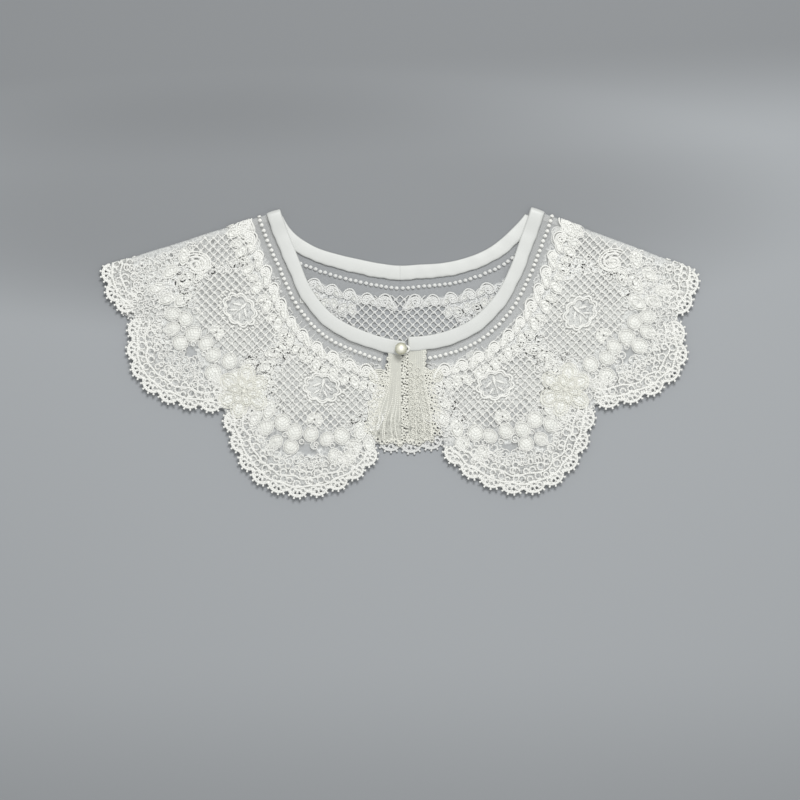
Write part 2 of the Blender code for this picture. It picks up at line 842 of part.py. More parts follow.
def build_pearl(material):
    """The pearl on its shank, 0.3 mm above the binding that carries it."""
    foot = FRONT_FLOOR + BINDING_THICK + SEAM_GAP
    middle = foot + SHANK_HEIGHT + PEARL_RADIUS * 0.9
    profile = [(SHANK_RADIUS, foot)]
    rings = 9
    first = acos((middle - foot - SHANK_HEIGHT * 0.9) / PEARL_RADIUS)
    for i in range(rings + 1):
        turn = first + (pi * 0.985 - first) * i / rings
        profile.append((PEARL_RADIUS * sin(turn), middle - PEARL_RADIUS * cos(turn)))
    return build_turned("pearl_button", profile, 20, (PEARL_X, PEARL_Y), material)


def build_loop(material):
    """The thread loop that holds the button, an oval ring round its shank."""
    centre_x = (PEARL_X - LOOP_REACH + RIGHT_BINDING_END_X + LOOP_THREAD) / 2
    half_length = centre_x - (PEARL_X - LOOP_REACH)
    height = FRONT_FLOOR + BINDING_THICK + SEAM_GAP + LOOP_THREAD / 2
    around, section = 20, 6
    points, faces = [], []
    for i in range(around):
        turn = 2 * pi * i / around
        out = Vector((cos(turn), sin(turn)))
        centre = Vector((centre_x + half_length * out.x, PEARL_Y + LOOP_HALF_WIDTH * out.y))
        for k in range(section):
            bend = 2 * pi * (k + 0.5) / section
            spot = centre + out * (LOOP_THREAD / 2 * cos(bend))
            points.append((spot.x, spot.y, height + LOOP_THREAD / 2 * sin(bend)))
    for i in range(around):
        for k in range(section):
            a, b = i * section + k, i * section + (k + 1) % section
            j = ((i + 1) % around) * section
            faces.append([a, b, j + (k + 1) % section, j + k])
    return add_closed("button_loop", points, faces, material)


def stand_on_origin(items):
    """Move the collar so that the middle of its footprint is the origin."""
    corners = [item.matrix_world @ v.co for item in items for v in item.data.vertices]
    middle_x = (min(c.x for c in corners) + max(c.x for c in corners)) / 2
    middle_y = (min(c.y for c in corners) + max(c.y for c in corners)) / 2
    floor = min(c.z for c in corners)
    for item in items:
        item.location = Vector((-middle_x, -middle_y, -floor))


def main():
    clear_scene()
    lace = finish("ivory_lace", IVORY, 0.85)
    satin = finish("ivory_satin", SATIN, 0.45)
    pearl = finish("pearl", PEARL, 0.2)
    items = [
        build_back(lace),
        build_front("front_left", LEFT, lace),
        build_front("front_right", RIGHT, lace),
        build_back_binding(satin),
        build_front_binding("binding_left", LEFT, satin),
        build_front_binding("binding_right", RIGHT, satin),
        build_edging("edging_left", LEFT, lace),
        build_edging("edging_right", RIGHT, lace),
        build_pearl(pearl),
        build_loop(lace),
    ]
    stand_on_origin(items)


main()
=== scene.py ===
"""Looks of the embroidered organza cape collar, worked on top of its CAD frame.

Everything sewn is worked out on the flat cloth first: plan points and heights in
millimetres, round the point where the two shoulder folds would meet. The cloth of
each half then carries those points to their place, round the shoulder roll too.
"""

import logging
import math
from collections.abc import Callable
from dataclasses import dataclass, field
from enum import Enum

import bpy
import numpy as np
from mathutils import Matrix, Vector


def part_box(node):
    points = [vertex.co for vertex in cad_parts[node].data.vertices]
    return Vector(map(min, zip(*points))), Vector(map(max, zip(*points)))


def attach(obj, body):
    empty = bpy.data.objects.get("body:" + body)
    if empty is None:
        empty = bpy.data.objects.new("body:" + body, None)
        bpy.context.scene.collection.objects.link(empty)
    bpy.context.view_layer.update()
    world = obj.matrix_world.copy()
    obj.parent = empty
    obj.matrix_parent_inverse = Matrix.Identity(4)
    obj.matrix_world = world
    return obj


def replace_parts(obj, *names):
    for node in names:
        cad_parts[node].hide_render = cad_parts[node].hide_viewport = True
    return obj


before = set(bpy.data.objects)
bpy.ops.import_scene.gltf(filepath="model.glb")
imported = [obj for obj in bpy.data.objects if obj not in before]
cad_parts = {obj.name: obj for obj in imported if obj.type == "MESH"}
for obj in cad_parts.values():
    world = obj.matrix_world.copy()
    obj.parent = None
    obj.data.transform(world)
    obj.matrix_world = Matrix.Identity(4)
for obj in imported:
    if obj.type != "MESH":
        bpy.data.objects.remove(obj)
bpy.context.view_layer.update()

MM = 0.001
APEX = np.array([0.0, 120.25])
log = logging.getLogger("collar")

WALL = 1.0
FRONT_FLOOR = 1.55
FOLD_RADIUS = 1.4
FOLD_FLAP = 3.0
FOLD_EASE = 16.0
HEM_LIFT = 1.1
CLOTH_MIDDLE = 0.5
BINDING_WIDTH = 9.0
BINDING_THICK = 1.35
SEAM_GAP = 0.3
SCALLOP_PITCH = 15.3
SCALLOP_STEPS = 12
# Where a front half starts: its distance from the centre front, under the edging.
FRONT_START = 11.6
# Depths beyond the binding: the sheer dotted band ends, the net, the motifs and the
# filling start.
DOTTED_BAND = 10.0
NET_FROM = 14.0
MOTIFS_FROM = 21.0
FILLING_FROM = 23.0
# No thread reaches lower than this in the cloth's wall.
LEAST_HEIGHT = 0.02
PEARL_AT = np.array([0.65, 2.6])
# Degrees between which the neck's and the hem's tables hold.
NECK_REACH = (-3.9, 83.9)
HEM_REACH = (0.0, 73.0)


class Layer(Enum):
    """Which half of the folded collar a piece of cloth belongs to."""

    BACK = "back_neck"
    FRONT = "front_neck"


@dataclass(frozen=True)
class Medallion:
    """A medallion's place: angle and radius round the apex, and its axis' angle."""

    angle: float
    radius: float
    axis: float


@dataclass(frozen=True)
class Side:
    """One shoulder's plan: neck sections, hem lobes and medallions."""

    sign: int
    fold_angle: float
    fold_offset: float
    sections: np.ndarray
    lobes: np.ndarray
    back_lobes: np.ndarray
    medallions: tuple[Medallion, ...]
    back_medallions: tuple[Medallion, ...]
    centre_x: float


LEFT = Side(
    sign=-1,
    fold_angle=72.35,
    fold_offset=-2.4,
    sections=np.array([
        (-4.0, 113.0, 63.7), (0.0, 112.5, 63.7), (12.0, 108.9, 63.7), (24.0, 105.3, 65.3),
        (36.0, 97.8, 69.6), (48.0, 88.7, 76.1), (60.0, 84.2, 81.5), (72.0, 82.6, 82.8),
        (84.0, 82.6, 82.8),
    ]),
    lobes=np.array([
        (74.0, 201.0, 66.0, 207.4, 61.1, 200.2, 1.0),
        (61.1, 200.2, 50.6, 219.5, 36.0, 197.0, 1.1),
        (36.0, 197.0, 21.5, 226.0, 4.1, 184.0, 0.65),
    ]),
    back_lobes=np.array([
        (74.0, 201.0, 63.0, 203.0, 49.0, 178.0, 1.0),
        (49.0, 178.0, 33.0, 190.0, 17.8, 160.0, 1.0), (17.8, 160.0, 0.0, 184.9, -1.0, 184.9, 1.0),
    ]),
    medallions=(Medallion(48.4, 139.0, 46.0), Medallion(19.5, 151.7, 13.0)),
    back_medallions=(Medallion(60.0, 135.0, 60.0), Medallion(33.0, 122.0, 33.0)),
    centre_x=0.9,
)

RIGHT = Side(
    sign=1,
    fold_angle=69.5,
    fold_offset=5.5,
    sections=np.array([
        (-4.0, 110.0, 63.7), (0.0, 109.9, 63.7), (12.0, 110.6, 64.4), (24.0, 109.3, 67.9),
        (36.0, 104.0, 72.6), (48.0, 96.5, 78.0), (60.0, 90.7, 82.5), (72.0, 89.1, 87.6),
        (84.0, 89.1, 89.1),
    ]),
    lobes=np.array([
        (73.0, 203.0, 65.5, 209.5, 61.8, 207.0, 1.0),
        (61.8, 207.0, 53.8, 225.5, 39.2, 202.0, 1.0), (39.2, 202.0, 25.0, 229.5, 8.1, 185.0, 0.8),
    ]),
    back_lobes=np.array([
        (73.0, 203.0, 64.0, 203.0, 52.0, 180.0, 1.0),
        (52.0, 180.0, 37.0, 190.0, 22.8, 164.0, 1.0), (22.8, 164.0, 2.5, 185.5, 0.0, 184.9, 1.0),
    ]),
    medallions=(Medallion(51.1, 150.2, 46.0), Medallion(23.6, 154.0, 13.0)),
    back_medallions=(Medallion(62.0, 138.0, 62.0), Medallion(37.0, 124.0, 37.0)),
    centre_x=5.3,
)


def ease(t: np.ndarray) -> np.ndarray:
    """Smooth step: 3 t squared less 2 t cubed, with t held between 0 and 1."""
    t = np.clip(t, 0.0, 1.0)
    return t * t * (3 - 2 * t)


def neck_radius(side: Side, layer: Layer, angle: np.ndarray) -> np.ndarray:
    """Neck edge's distance from the apex: a cubic between rows of the sections.

    Args:
        side: the shoulder whose sections are read.
        layer: back or front neck edge.
        angle: degrees from straight down the front, any shape of array.

    Returns:
        Radii in millimetres, in the shape of angle.
    """
    rows = side.sections
    value = rows[:, 2 if layer is Layer.BACK else 1]
    low = np.clip(np.searchsorted(rows[:, 0], angle) - 1, 1, len(rows) - 3)
    span = rows[low + 1, 0] - rows[low, 0]
    t = (angle - rows[low, 0]) / span
    slope_in = (value[low + 1] - value[low - 1]) / (rows[low + 1, 0] - rows[low - 1, 0]) * span
    slope_out = (value[low + 2] - value[low]) / (rows[low + 2, 0] - rows[low, 0]) * span
    near = (2 * t**3 - 3 * t**2 + 1) * value[low] + (t**3 - 2 * t**2 + t) * slope_in
    return near + (3 * t**2 - 2 * t**3) * value[low + 1] + (t**3 - t**2) * slope_out


def hem_radius(side: Side, layer: Layer, angle: np.ndarray) -> np.ndarray:
    """Hem's distance from the apex: each lobe rises and falls as a part sine."""
    lobes = side.back_lobes if layer is Layer.BACK else side.lobes
    radius = np.zeros_like(angle)
    todo = np.ones(angle.shape, bool)
    for number, (start, start_r, tip, tip_r, end, end_r, fall) in enumerate(lobes):
        here = todo & ((angle >= end) | (number == len(lobes) - 1))
        up = np.clip((start - angle) / (start - tip), 0.0, None)
        down = np.clip((angle - end) / (tip - end), 0.0, None)
        rising = start_r + (tip_r - start_r) * np.sin(math.pi / 2 * up)
        falling = end_r + (tip_r - end_r) * np.abs(np.sin(math.pi / 2 * down)) ** fall
        radius = np.where(here, np.where(angle >= tip, rising, falling), radius)
        todo &= ~here
    return radius


def polar(side: Side, angle: np.ndarray, radius: np.ndarray) -> np.ndarray:
    """Plan points at an angle and radius round the apex, on one side."""
    turn = np.radians(angle)
    return APEX + np.stack([side.sign * radius * np.sin(turn), -radius * np.cos(turn)], -1)


def angle_of(side: Side, plan: np.ndarray) -> np.ndarray:
    """Degrees of plan points round the apex, from straight down the front."""
    arm = plan - APEX
    return np.degrees(np.arctan2(side.sign * arm[..., 0], -arm[..., 1]))


@dataclass(frozen=True)
class Cloth:
    """The cloth of one half on one side: it carries flat points to their place."""

    side: Side
    layer: Layer

    @property
    def fold_normal(self) -> np.ndarray:
        """Plan direction that points out of the collar, square to the fold."""
        turn = math.radians(self.side.fold_angle)
        return np.array([self.side.sign * math.cos(turn), math.sin(turn)])

    def past_fold(self, plan: np.ndarray) -> np.ndarray:
        """Distance of plan points beyond the line where the cloth starts to roll."""
        roll = FOLD_RADIUS + WALL / 2
        return (plan - APEX) @ self.fold_normal - (self.side.fold_offset - roll)

    def underside(self, plan: np.ndarray) -> np.ndarray:
        """Height of the cloth's underside: higher by the fold and at lobe tips."""
        inside = -self.past_fold(plan)
        arm = plan - APEX
        far = np.linalg.norm(arm, axis=-1)
        angle = np.maximum(self.side.lobes[-1][4], angle_of(self.side, plan))
        rim = hem_radius(self.side, Layer.FRONT, angle)
        near_fold = 1 - ease(inside / FOLD_EASE)
        lift = HEM_LIFT * ease((far / rim - 0.82) / 0.18) * (1 - near_fold)
        return FRONT_FLOOR + (2 * FOLD_RADIUS - FRONT_FLOOR) * near_fold + lift

    def roll_steps(self) -> np.ndarray:
        """Steps that carry an edge at the fold round the roll and under the flap."""
        rows = np.linspace(0.0, math.pi * FOLD_RADIUS + FOLD_FLAP, 12)[1:]
        return rows[:, None, None] * self.fold_normal

    def place(self, plan: np.ndarray, height: np.ndarray) -> np.ndarray:
        """Points in space: flat plan points at a height above the cloth's underside.

        Past the fold line the cloth goes round a half turn of FOLD_RADIUS and then
        runs back flat on the table, so the height there is measured inwards.

        Args:
            plan: (..., 2) points on the flat cloth.
            height: (...) heights above the underside.

        Returns:
            (..., 3) points in millimetres.
        """
        height = np.broadcast_to(height, plan.shape[:-1])
        if self.layer is Layer.BACK:
            return np.concatenate([plan, height[..., None]], -1)
        beyond = self.past_fold(plan)
        rolled = np.maximum(beyond, 0.0)
        turn = np.minimum(rolled / FOLD_RADIUS, math.pi)
        straight = np.maximum(rolled - math.pi * FOLD_RADIUS, 0.0)
        arm = FOLD_RADIUS + height - WALL / 2
        shift = arm * np.sin(turn) - straight - rolled
        foot = plan + self.fold_normal * shift[..., None]
        high = np.where(
            beyond > 0,
            np.maximum(WALL / 2 + FOLD_RADIUS + arm * np.cos(turn), 0.0),
            self.underside(plan) + height,
        )
        return np.concatenate([foot, high[..., None]], -1)

    def fold_angle_of(self, radius_at: Callable[[np.ndarray], np.ndarray]) -> float:
        """The angle at which a curve of angle reaches the start of the roll."""
        low, high = 40.0, 84.0
        for _ in range(30):
            middle = np.array((low + high) / 2)
            reach = self.past_fold(polar(self.side, middle, radius_at(middle)))
            low, high = (float(middle), high) if reach < 0 else (low, float(middle))
        return low


def shift_of_frame() -> np.ndarray:
    """How far the CAD model stands from the plan's own zero, in millimetres."""
    low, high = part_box("pearl_button")
    middle = (np.array(low) + np.array(high)) / 2 / MM
    return np.array([middle[0] - PEARL_AT[0], middle[1] - PEARL_AT[1], 0.0])


@dataclass
class Mesher:
    """Collects sewn threads' points, faces and coordinates, and makes one object.

    The cloth carries the threads; what is added ready-placed needs none.
    """

    cloth: Cloth | None = None
    points: list[np.ndarray] = field(default_factory=list)
    coords: list[np.ndarray] = field(default_factory=list)
    faces: list[np.ndarray] = field(default_factory=list)
    count: int = 0

    def add(self, points: np.ndarray, coords: np.ndarray, faces: list[np.ndarray]) -> None:
        """Add points (n, 3), their coordinates (n, 2) and arrays of faces."""
        self.points.append(points.reshape(-1, 3))
        self.coords.append(np.broadcast_to(coords, points.shape[:-1] + (2,)).reshape(-1, 2))
        self.faces += [f + self.count for f in faces if len(f)]
        self.count += self.points[-1].shape[0]

    def make(self, name: str, material: bpy.types.Material, slot: str) -> bpy.types.Object:
        """Make the mesh object from arrays, in metres in the frame's own place.

        Args:
            name: the piece's name.
            material: its finish.
            slot: not used.

        Returns:
            The object, riding on the root body.
        """
        points = (np.concatenate(self.points) + shift_of_frame()) * MM
        coords = np.concatenate(self.coords)
        loops = np.concatenate([f.ravel() for f in self.faces])
        sizes = np.concatenate([np.full(len(f), f.shape[1]) for f in self.faces])
        starts = np.concatenate([[0], np.cumsum(sizes)[:-1]])
        mesh = bpy.data.meshes.new(name)
        mesh.vertices.add(len(points))
        mesh.vertices.foreach_set("co", points.ravel())
        mesh.loops.add(len(loops))
        mesh.loops.foreach_set("vertex_index", loops)
        mesh.polygons.add(len(sizes))
        mesh.polygons.foreach_set("loop_start", starts)
        mesh.polygons.foreach_set("use_smooth", np.ones(len(sizes), bool))
        mesh.update(calc_edges=True)
        layer = mesh.uv_layers.new(name="run")
        layer.data.foreach_set("uv", coords[loops].ravel())
        mesh.materials.append(material)
        piece = bpy.data.objects.new(name, mesh)
        bpy.context.collection.objects.link(piece)
        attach(piece, "root")
        log.info("%s: %d points, %d faces", name, len(points), len(sizes))
        return piece

    def sweep(
        self,
        path: np.ndarray,
        half_width: np.ndarray,
        top: np.ndarray,
        base: np.ndarray,
        sides: int = 6,
        closed: bool = False,
        under: float = 0.3,
    ) -> None:
        """Carry a rounded section along plan paths, and lay the result on the cloth.

        The section at angle phi is (half_width cos phi) across the path and, in height,
        base + top sin phi above the widest line or base + under sin phi below it.

        Args:
            path: (k, n, 2) plan points of k paths.
            half_width: half the width, broadcast to (k, n).
            top: height of the crest above the widest line, broadcast to (k, n).
            base: height of the widest line, broadcast to (k, n).
            sides: points round the section.
            closed: whether each path joins up with its own start.
            under: depth of the section below its widest line.
        """
        number, length = path.shape[:2]
        if closed:
            run = np.roll(path, -1, 1) - np.roll(path, 1, 1)
        else:
            run = np.gradient(path, axis=1)
        run /= np.maximum(np.linalg.norm(run, axis=-1, keepdims=True), 1e-9)
        cross = np.stack([-run[..., 1], run[..., 0]], -1)
        phi = 2 * np.pi * (np.arange(sides) + 0.5) / sides
        half_width, top, base = (
            np.broadcast_to(v, (number, length))[..., None] for v in (half_width, top, base)
        )
        across = half_width * np.cos(phi)
        rise = np.where(np.sin(phi) > 0, top * np.sin(phi), under * np.sin(phi))
        plan = path[:, :, None, :] + cross[:, :, None, :] * across[..., None]
        step = np.linalg.norm(np.diff(path, axis=1), axis=-1)
        along = np.concatenate([np.zeros((number, 1)), np.cumsum(step, 1)], 1)
        coords = np.stack([np.broadcast_to(along[..., None], across.shape), across], -1)
        index = np.arange(number * length * sides).reshape(number, length, sides)
        ahead = np.roll(index, -1, 1) if closed else index[:, 1:]
        here = index if closed else index[:, :-1]
        quads = np.stack([here, np.roll(here, -1, 2), np.roll(ahead, -1, 2), ahead], -1)
        faces = [quads.reshape(-1, 4)]
        if not closed:
            faces += [index[:, 0, ::-1], index[:, -1, :]]
        self.add(self.cloth.place(plan, np.maximum(base + rise, LEAST_HEIGHT)), coords, faces)

    def petals(
        self,
        middle: np.ndarray,
        turn: np.ndarray,
        length: np.ndarray,
        width: np.ndarray,
        pointed: bool,
        height: float = 0.45,
        base: float = 0.7,
        outline: float = 0.0,
        nested: tuple[float, ...] = (1.0, 0.56),
        cord: "Mesher | None" = None,
        ribs: int = 0,
    ) -> None:
        """Satin-stitched petals or leaves: domes whose width is a skewed sine.

        Half the width at a share t of the length is width/2 times sin(pi t^k) to a
        power, so a leaf is pointed at both ends and a petal is full towards its tip.

        Args:
            middle: (k, 2) plan middles.
            turn: (k, 2) unit directions from foot to tip.
            length: (k) lengths.
            width: (k) widths.
            pointed: leaf or petal.
            height: the dome's height.
            base: height of its widest line.
            outline: radius of the threads laid round the petal, or 0 for none.
            nested: sizes of those threads' loops, as shares of the petal's own.
            cord: where those threads go, if not with the domes.
            ribs: threads laid from foot to tip over each petal.
        """
        if not len(middle):
            return
        rows = 7
        t = 0.5 - 0.5 * np.cos(np.linspace(0.05, 0.95, rows) * np.pi)
        shape = np.sin(np.pi * t**0.9) ** 0.75 if pointed else np.sin(np.pi * t**1.1) ** 0.5
        length, width = np.asarray(length)[:, None], np.asarray(width)[:, None]
        path = middle[:, None, :] + turn[:, None, :] * ((t - 0.5) * length)[..., None]
        half = width / 2 * shape
        dome = height * (0.3 + 0.7 * np.sin(np.pi * t) ** 0.5)
        self.sweep(path, half, dome[None, :], base, sides=8)
        if outline <= 0:
            return
        cross = np.stack([-turn[:, 1], turn[:, 0]], -1)[:, None, :]
        loop = np.concatenate(
            [path + cross * half[..., None], (path - cross * half[..., None])[:, ::-1]], 1
        )
        for share in nested:
            heart = middle[:, None, :] + turn[:, None, :] * (0.12 * (1 - share) * length[..., None])
            rim = heart + (loop - middle[:, None, :]) * share
            level = base + 0.25 + 0.8 * height * math.sqrt(1 - share**2)
            (cord or self).sweep(rim, outline, outline, level, sides=4, closed=True)
        for rib in range(ribs):
            lean = 1.3 * (rib + 0.5) / ribs - 0.65
            line = (path + cross * (lean * half)[..., None])[:, 1:-1:2]
            level = base + 0.1 + dome[1:-1:2] * math.sqrt(1 - lean**2)
            (cord or self).sweep(line, 0.3, 0.26, level[None, :], sides=4)

    def rings(
        self,
        middle: np.ndarray,
        radius: float,
        thread: float,
        base: float,
        count: int = 9,
        sides: int = 5,
    ) -> None:
        """Buttonholed rings: a thread's section carried round small circles."""
        turn = 2 * np.pi * np.arange(count) / count
        circle = np.stack([np.cos(turn), np.sin(turn)], -1) * radius
        path = middle[:, None, :] + circle[None]
        self.sweep(path, thread, thread, base, sides=sides, closed=True)

    def knots(
        self,
        middle: np.ndarray,
        radius: float,
        base: float,
        height: float = 0.8,
        rows: int = 5,
        sides: int = 7,
    ) -> None:
        """Round knots or pads: half widths radius sqrt(1 - t^2), and crests like them.

        Args:
            middle: (k, 2) plan middles.
            radius: the knots' radius.
            base: height of the widest line.
            height: the crest's height as a share of the radius.
            rows: rows of points over a knot.
            sides: points round the section.
        """
        t = np.linspace(-0.96, 0.96, rows)
        path = middle[:, None, :] + np.stack([t * radius, t * 0], -1)[None]
        half = radius * np.sqrt(1 - t**2)
        self.sweep(path, half[None], (half * height)[None], base, sides=sides)


def frames(side: Side, medallion: Medallion) -> tuple[np.ndarray, np.ndarray, np.ndarray]:
    """A medallion's middle, and its directions across and out towards the hem."""
    turn = math.radians(medallion.axis)
    out = np.array([side.sign * math.sin(turn), -math.cos(turn)])
    across = np.array([side.sign * math.cos(turn), math.sin(turn)])
    middle = polar(side, np.array(medallion.angle), np.array(medallion.radius))
    return middle, across, out


def unit(turn: np.ndarray, across: np.ndarray, out: np.ndarray) -> np.ndarray:
    """Directions at angles in degrees, 0 outwards and 90 across."""
    turn = np.radians(np.asarray(turn, float))
    return np.cos(turn)[:, None] * out + np.sin(turn)[:, None] * across


def run_of(curve: np.ndarray) -> np.ndarray:
    """Distance along a plan curve at each of its points."""
    return np.concatenate([[0.0], np.cumsum(np.linalg.norm(np.diff(curve, axis=0), axis=1))])


def at_run(run: np.ndarray, values: np.ndarray, steps: np.ndarray) -> np.ndarray:
    """Plan values, given at distances run, at other distances."""
    return np.stack([np.interp(steps, run, values[:, i]) for i in (0, 1)], -1)


def resample(curve: np.ndarray, steps: np.ndarray) -> np.ndarray:
    """Points of a plan curve at given distances along it."""
    return at_run(run_of(curve), curve, steps)


def length_of(curve: np.ndarray) -> float:
    """Length of a plan curve."""
    return float(np.linalg.norm(np.diff(curve, axis=0), axis=1).sum())


def one_long(arms: np.ndarray) -> np.ndarray:
    """Unit vectors along arms."""
    return arms / np.linalg.norm(arms, axis=1, keepdims=True)


def grid_faces(rows: int, columns: int) -> np.ndarray:
    """Quads between the points of a grid."""
    index = np.arange(rows * columns).reshape(rows, columns)
    quads = np.stack([index[:-1, :-1], index[1:, :-1], index[1:, 1:], index[:-1, 1:]], -1)
    return quads.reshape(-1, 4)


def inward_normals(curve: np.ndarray) -> np.ndarray:
    """Unit directions square to a curve, on the apex's side of it."""
    run = np.gradient(curve, axis=0)
    run /= np.maximum(np.linalg.norm(run, axis=1, keepdims=True), 1e-9)
    cross = np.stack([-run[:, 1], run[:, 0]], -1)
    turned = np.sign(((APEX - curve) * cross).sum(1, keepdims=True))
    return cross * turned


@dataclass
class Threads:
    """The finishes of sewn thread, shared by every half."""

    satin: bpy.types.Material
    cord: bpy.types.Material
    ivory: bpy.types.Material


@dataclass
class Half:
    """One half of the cape on one side: its ground, lace border and embroidery."""

    name: str
    cloth: Cloth
    first_angle: float
    pieces: list[bpy.types.Object] = field(default_factory=list)
    border_width: float = 20.0
    dot_depth: float = 5.3
    dot_pitch: float = 3.4
    scroll_depth: float = 15.2
    scroll_pitch: float = 12.0
    fan_depth: float = 6.2
    fan_height: float = 6.3
    cell: float = 3.9
    # Half width and half height that the lattice leaves clear for a medallion's frame.
    frame_room: tuple[float, float] = (13.5, 10.5)
    seed: int = 3
    # Each row: depth from the hem, shift, pitch, ring radius, thread radius.
    ring_rows: tuple[tuple[float, float, float, float, float], ...] = (
        (9.8, 0.0, 5.0, 1.95, 0.72),
        (15.0, 0.5, 5.4, 2.1, 0.75),
        (19.6, 0.0, 5.0, 1.8, 0.65),
    )

    @property
    def side(self) -> Side:
        """The shoulder's plan."""
        return self.cloth.side

    @property
    def layer(self) -> Layer:
        """Back or front."""
        return self.cloth.layer

    @property
    def lobes(self) -> np.ndarray:
        """The hem's lobes."""
        return self.side.back_lobes if self.layer is Layer.BACK else self.side.lobes

    @property
    def medallions(self) -> tuple[Medallion, ...]:
        """The places of the medallions."""
        front = self.layer is Layer.FRONT
        return self.side.medallions if front else self.side.back_medallions

    def last_angle(
        self, radius_at: Callable[[np.ndarray], np.ndarray], beyond: float = 5.0
    ) -> float:
        """The angle at which a curve ends: the fold, or a little past it."""
        stop = self.cloth.fold_angle_of(radius_at)
        return stop + beyond if self.layer is Layer.FRONT else stop - 2.0

    def neck_line(self, inset: float) -> np.ndarray:
        """A curve along the neck from the centre to the shoulder."""

        def radius_at(angle: np.ndarray) -> np.ndarray:
            """Radius of the neck's curve, moved out by the inset."""
            return neck_radius(self.side, self.layer, angle) + inset

        angle = np.linspace(self.first_angle, self.last_angle(radius_at, 3.0), 260)
        return polar(self.side, angle, radius_at(angle))

    def hem_lines(self) -> list[tuple[np.ndarray, float, float]]:
        """Each lobe's hem curve, with the angles between which its lace is kept."""
        found = []
        stop = self.last_angle(lambda a: hem_radius(self.side, self.layer, a))
        for number, lobe in enumerate(self.lobes):
            high = stop if number == 0 else lobe[0]
            low = lobe[4] if number < len(self.lobes) - 1 else max(lobe[4], 0.0)
            angle = np.linspace(high, low, 320)
            inner = np.clip(angle, lobe[4] + 1e-3, 89.0)
            curve = polar(self.side, angle, hem_radius(self.side, self.layer, inner))
            found.append((curve, low, high))
        return found

    def seen(self, plan: np.ndarray) -> np.ndarray:
        """Whether plan points of the back lie clear of the front's dotted band."""
        if self.layer is Layer.FRONT:
            return np.ones(plan.shape[:-1], bool)
        angle = np.clip(angle_of(self.side, plan), *NECK_REACH)
        neck = neck_radius(self.side, Layer.FRONT, angle)
        past = np.linalg.norm(plan - APEX, axis=-1) - neck
        return (past < 2.0) | (past > BINDING_WIDTH + DOTTED_BAND + 0.5)

    def kept(self, plan: np.ndarray, low: float, high: float) -> np.ndarray:
        """Which plan points lie between two angles and on this half's own cloth."""
        angle = angle_of(self.side, plan)
        limit = 6.0 if self.layer is Layer.FRONT else -2.0
        return (angle > low - 0.4) & (angle < high + 0.4) & (self.cloth.past_fold(plan) < limit)

    def build_border(self, threads: Threads) -> None:
        """The corded lace along the hem: two cords, rows of rings, fans and picots.

        Rings stand in even rows at set depths, and are shaken along and across.
        """
        mesher = Mesher(self.cloth)
        draw = np.random.default_rng(self.seed)
        for curve, low, high in self.hem_lines():
            total = length_of(curve)
            scallops = max(1, round(total / SCALLOP_PITCH))
            steps = np.linspace(0.0, total, scallops * SCALLOP_STEPS + 1)
            hem = resample(curve, steps) + draw.normal(0.0, 0.12, (len(steps), 2))
            inward = one_long(at_run(run_of(curve), inward_normals(curve), steps))
            self.border_cords(mesher, hem, inward, low, high)
            self.border_fans(mesher, hem, inward, scallops, low, high)
            for depth, shift, pitch, radius, thread in self.ring_rows:
                line = hem + inward * depth
                count = max(2, round(length_of(line) / pitch))
                steps = (np.arange(count) + 0.5 + shift / 2) * length_of(line) / count
                steps = steps + draw.normal(0.0, 0.7, count)
                spots = resample(line, steps) + draw.normal(0.0, 0.65, (count, 2))
                spots = spots[self.kept(spots, low, high)]
                for number, grow in enumerate((0.8, 1.12, 0.92, 1.2, 1.0)):
                    mesher.rings(spots[number::5], radius * grow, thread, 0.75)
        piece = mesher.make(f"{self.name}_border_lace", threads.cord, "lace")
        self.pieces.append(piece)

    def border_cords(
        self, mesher: Mesher, hem: np.ndarray, inward: np.ndarray, low: float, high: float
    ) -> None:
        """Cords that follow the hem at two depths, bent a little by crossed sine waves."""
        for depth, thick, wave in ((7.0, 0.8, 0.4), (12.6, 0.7, 0.9)):
            line = hem + inward * depth
            steps = np.linspace(0.0, length_of(line), max(8, int(length_of(line) / 1.6)))
            path = resample(line, steps)
            path = path + wave * np.stack([np.sin(steps / 2.3), np.sin(steps / 3.1 + 1)], -1)
            path = path[self.kept(path, low, high)]
            if len(path) > 3:
                mesher.sweep(path[None], thick, thick, 0.85, sides=7)

    def border_fans(
        self,
        mesher: Mesher,
        hem: np.ndarray,
        inward: np.ndarray,
        scallops: int,
        low: float,
        high: float,
    ) -> None:
        """A fan in each scallop: an arch, rings inside it and knobbed picots outside."""
        run = run_of(hem)
        pitch = run[-1] / scallops
        middle_steps = (np.arange(scallops) + 0.5) * pitch
        foot = resample(hem, middle_steps)
        normal = one_long(at_run(run, inward, middle_steps))
        along = np.stack([normal[:, 1], -normal[:, 0]], -1)
        ok = self.kept(foot + normal * 4, low - 1, high + 1)
        foot, normal, along = foot[ok], normal[ok], along[ok]
        if not len(foot):
            return
        origin = foot + normal * self.fan_depth
        turn = np.radians(np.linspace(-88, 88, 13))
        wide, tall = pitch / 2 - 0.2, self.fan_height

        def arch(scale: float, angles: np.ndarray) -> np.ndarray:
            """Half-oval arches round each fan's origin."""
            side_way = along[:, None, :] * (wide * scale * np.sin(angles))[None, :, None]
            out_way = -normal[:, None, :] * (tall * scale * np.cos(angles))[None, :, None]
            return origin[:, None, :] + side_way + out_way

